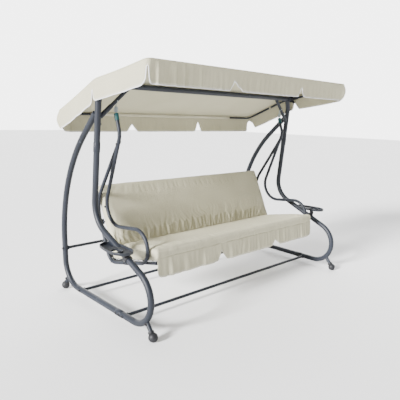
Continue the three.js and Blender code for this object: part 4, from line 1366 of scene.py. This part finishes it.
floor_verts = [(-30000, -30000, 0), (30000, -30000, 0), (30000, 30000, 0), (-30000, 30000, 0)]
floor_look = Look("pale floor")
floor_tone = floor_look.ramp(floor_look.noise(0.8), (0.93, 0.93, 0.93), (0.95, 0.95, 0.95))
floor = mesh_object(
    "floor", [([Vector(v) for v in floor_verts], [(0, 1, 2, 3)])],
    floor_look.finish(Base_Color=floor_tone, Roughness=0.9),
)

world = bpy.context.scene.world or bpy.data.worlds.new("studio")
bpy.context.scene.world = world
world.use_nodes = True
sky = world.node_tree.nodes["Background"]
sky.inputs["Color"].default_value = (1.0, 1.0, 1.0, 1)
sky_coords = world.node_tree.nodes.new("ShaderNodeTexCoord")
sky_side = world.node_tree.nodes.new("ShaderNodeVectorMath")
sky_side.operation = "DOT_PRODUCT"
sky_side.inputs[1].default_value = (0.69, 0.724, 0.0)
sky_glow = world.node_tree.nodes.new("ShaderNodeMapRange")
sky_glow.interpolation_type = "SMOOTHSTEP"
sky_glow.inputs["From Min"].default_value = 0.25
sky_glow.inputs["From Max"].default_value = 0.8
sky_glow.inputs["To Min"].default_value = 0.45
sky_glow.inputs["To Max"].default_value = 5.0
world.node_tree.links.new(sky_coords.outputs["Generated"], sky_side.inputs[0])
world.node_tree.links.new(sky_side.outputs["Value"], sky_glow.inputs["Value"])
world.node_tree.links.new(sky_glow.outputs["Result"], sky.inputs["Strength"])


def sun(name, direction, strength, angle):
    light = bpy.data.lights.new(name, "SUN")
    light.energy = strength
    light.angle = math.radians(angle)
    thing = bpy.data.objects.new(name, light)
    thing.rotation_euler = Vector(direction).to_track_quat("-Z", "Y").to_euler()
    bpy.context.scene.collection.objects.link(thing)


sun("key", (1.0, 0.0, -0.40), 13.5, 14)
sun("fill", (-0.2, 0.9, -0.3), 0.15, 40)

camera = bpy.data.cameras.new("camera")
camera.lens = 40.14
camera.sensor_width = 36
eye = bpy.data.objects.new("camera", camera)
forward = Vector((0.67838322, 0.71147577, -0.18330164))
right = Vector((0.72693433, -0.68617822, 0.02696012))
up = right.cross(forward)
eye.matrix_world = Matrix(
    (
        (right.x, up.x, -forward.x, -2.4233),
        (right.y, up.y, -forward.y, -2.41073),
        (right.z, up.z, -forward.z, 1.27554),
        (0, 0, 0, 1),
    )
)
bpy.context.scene.collection.objects.link(eye)
bpy.context.scene.camera = eye
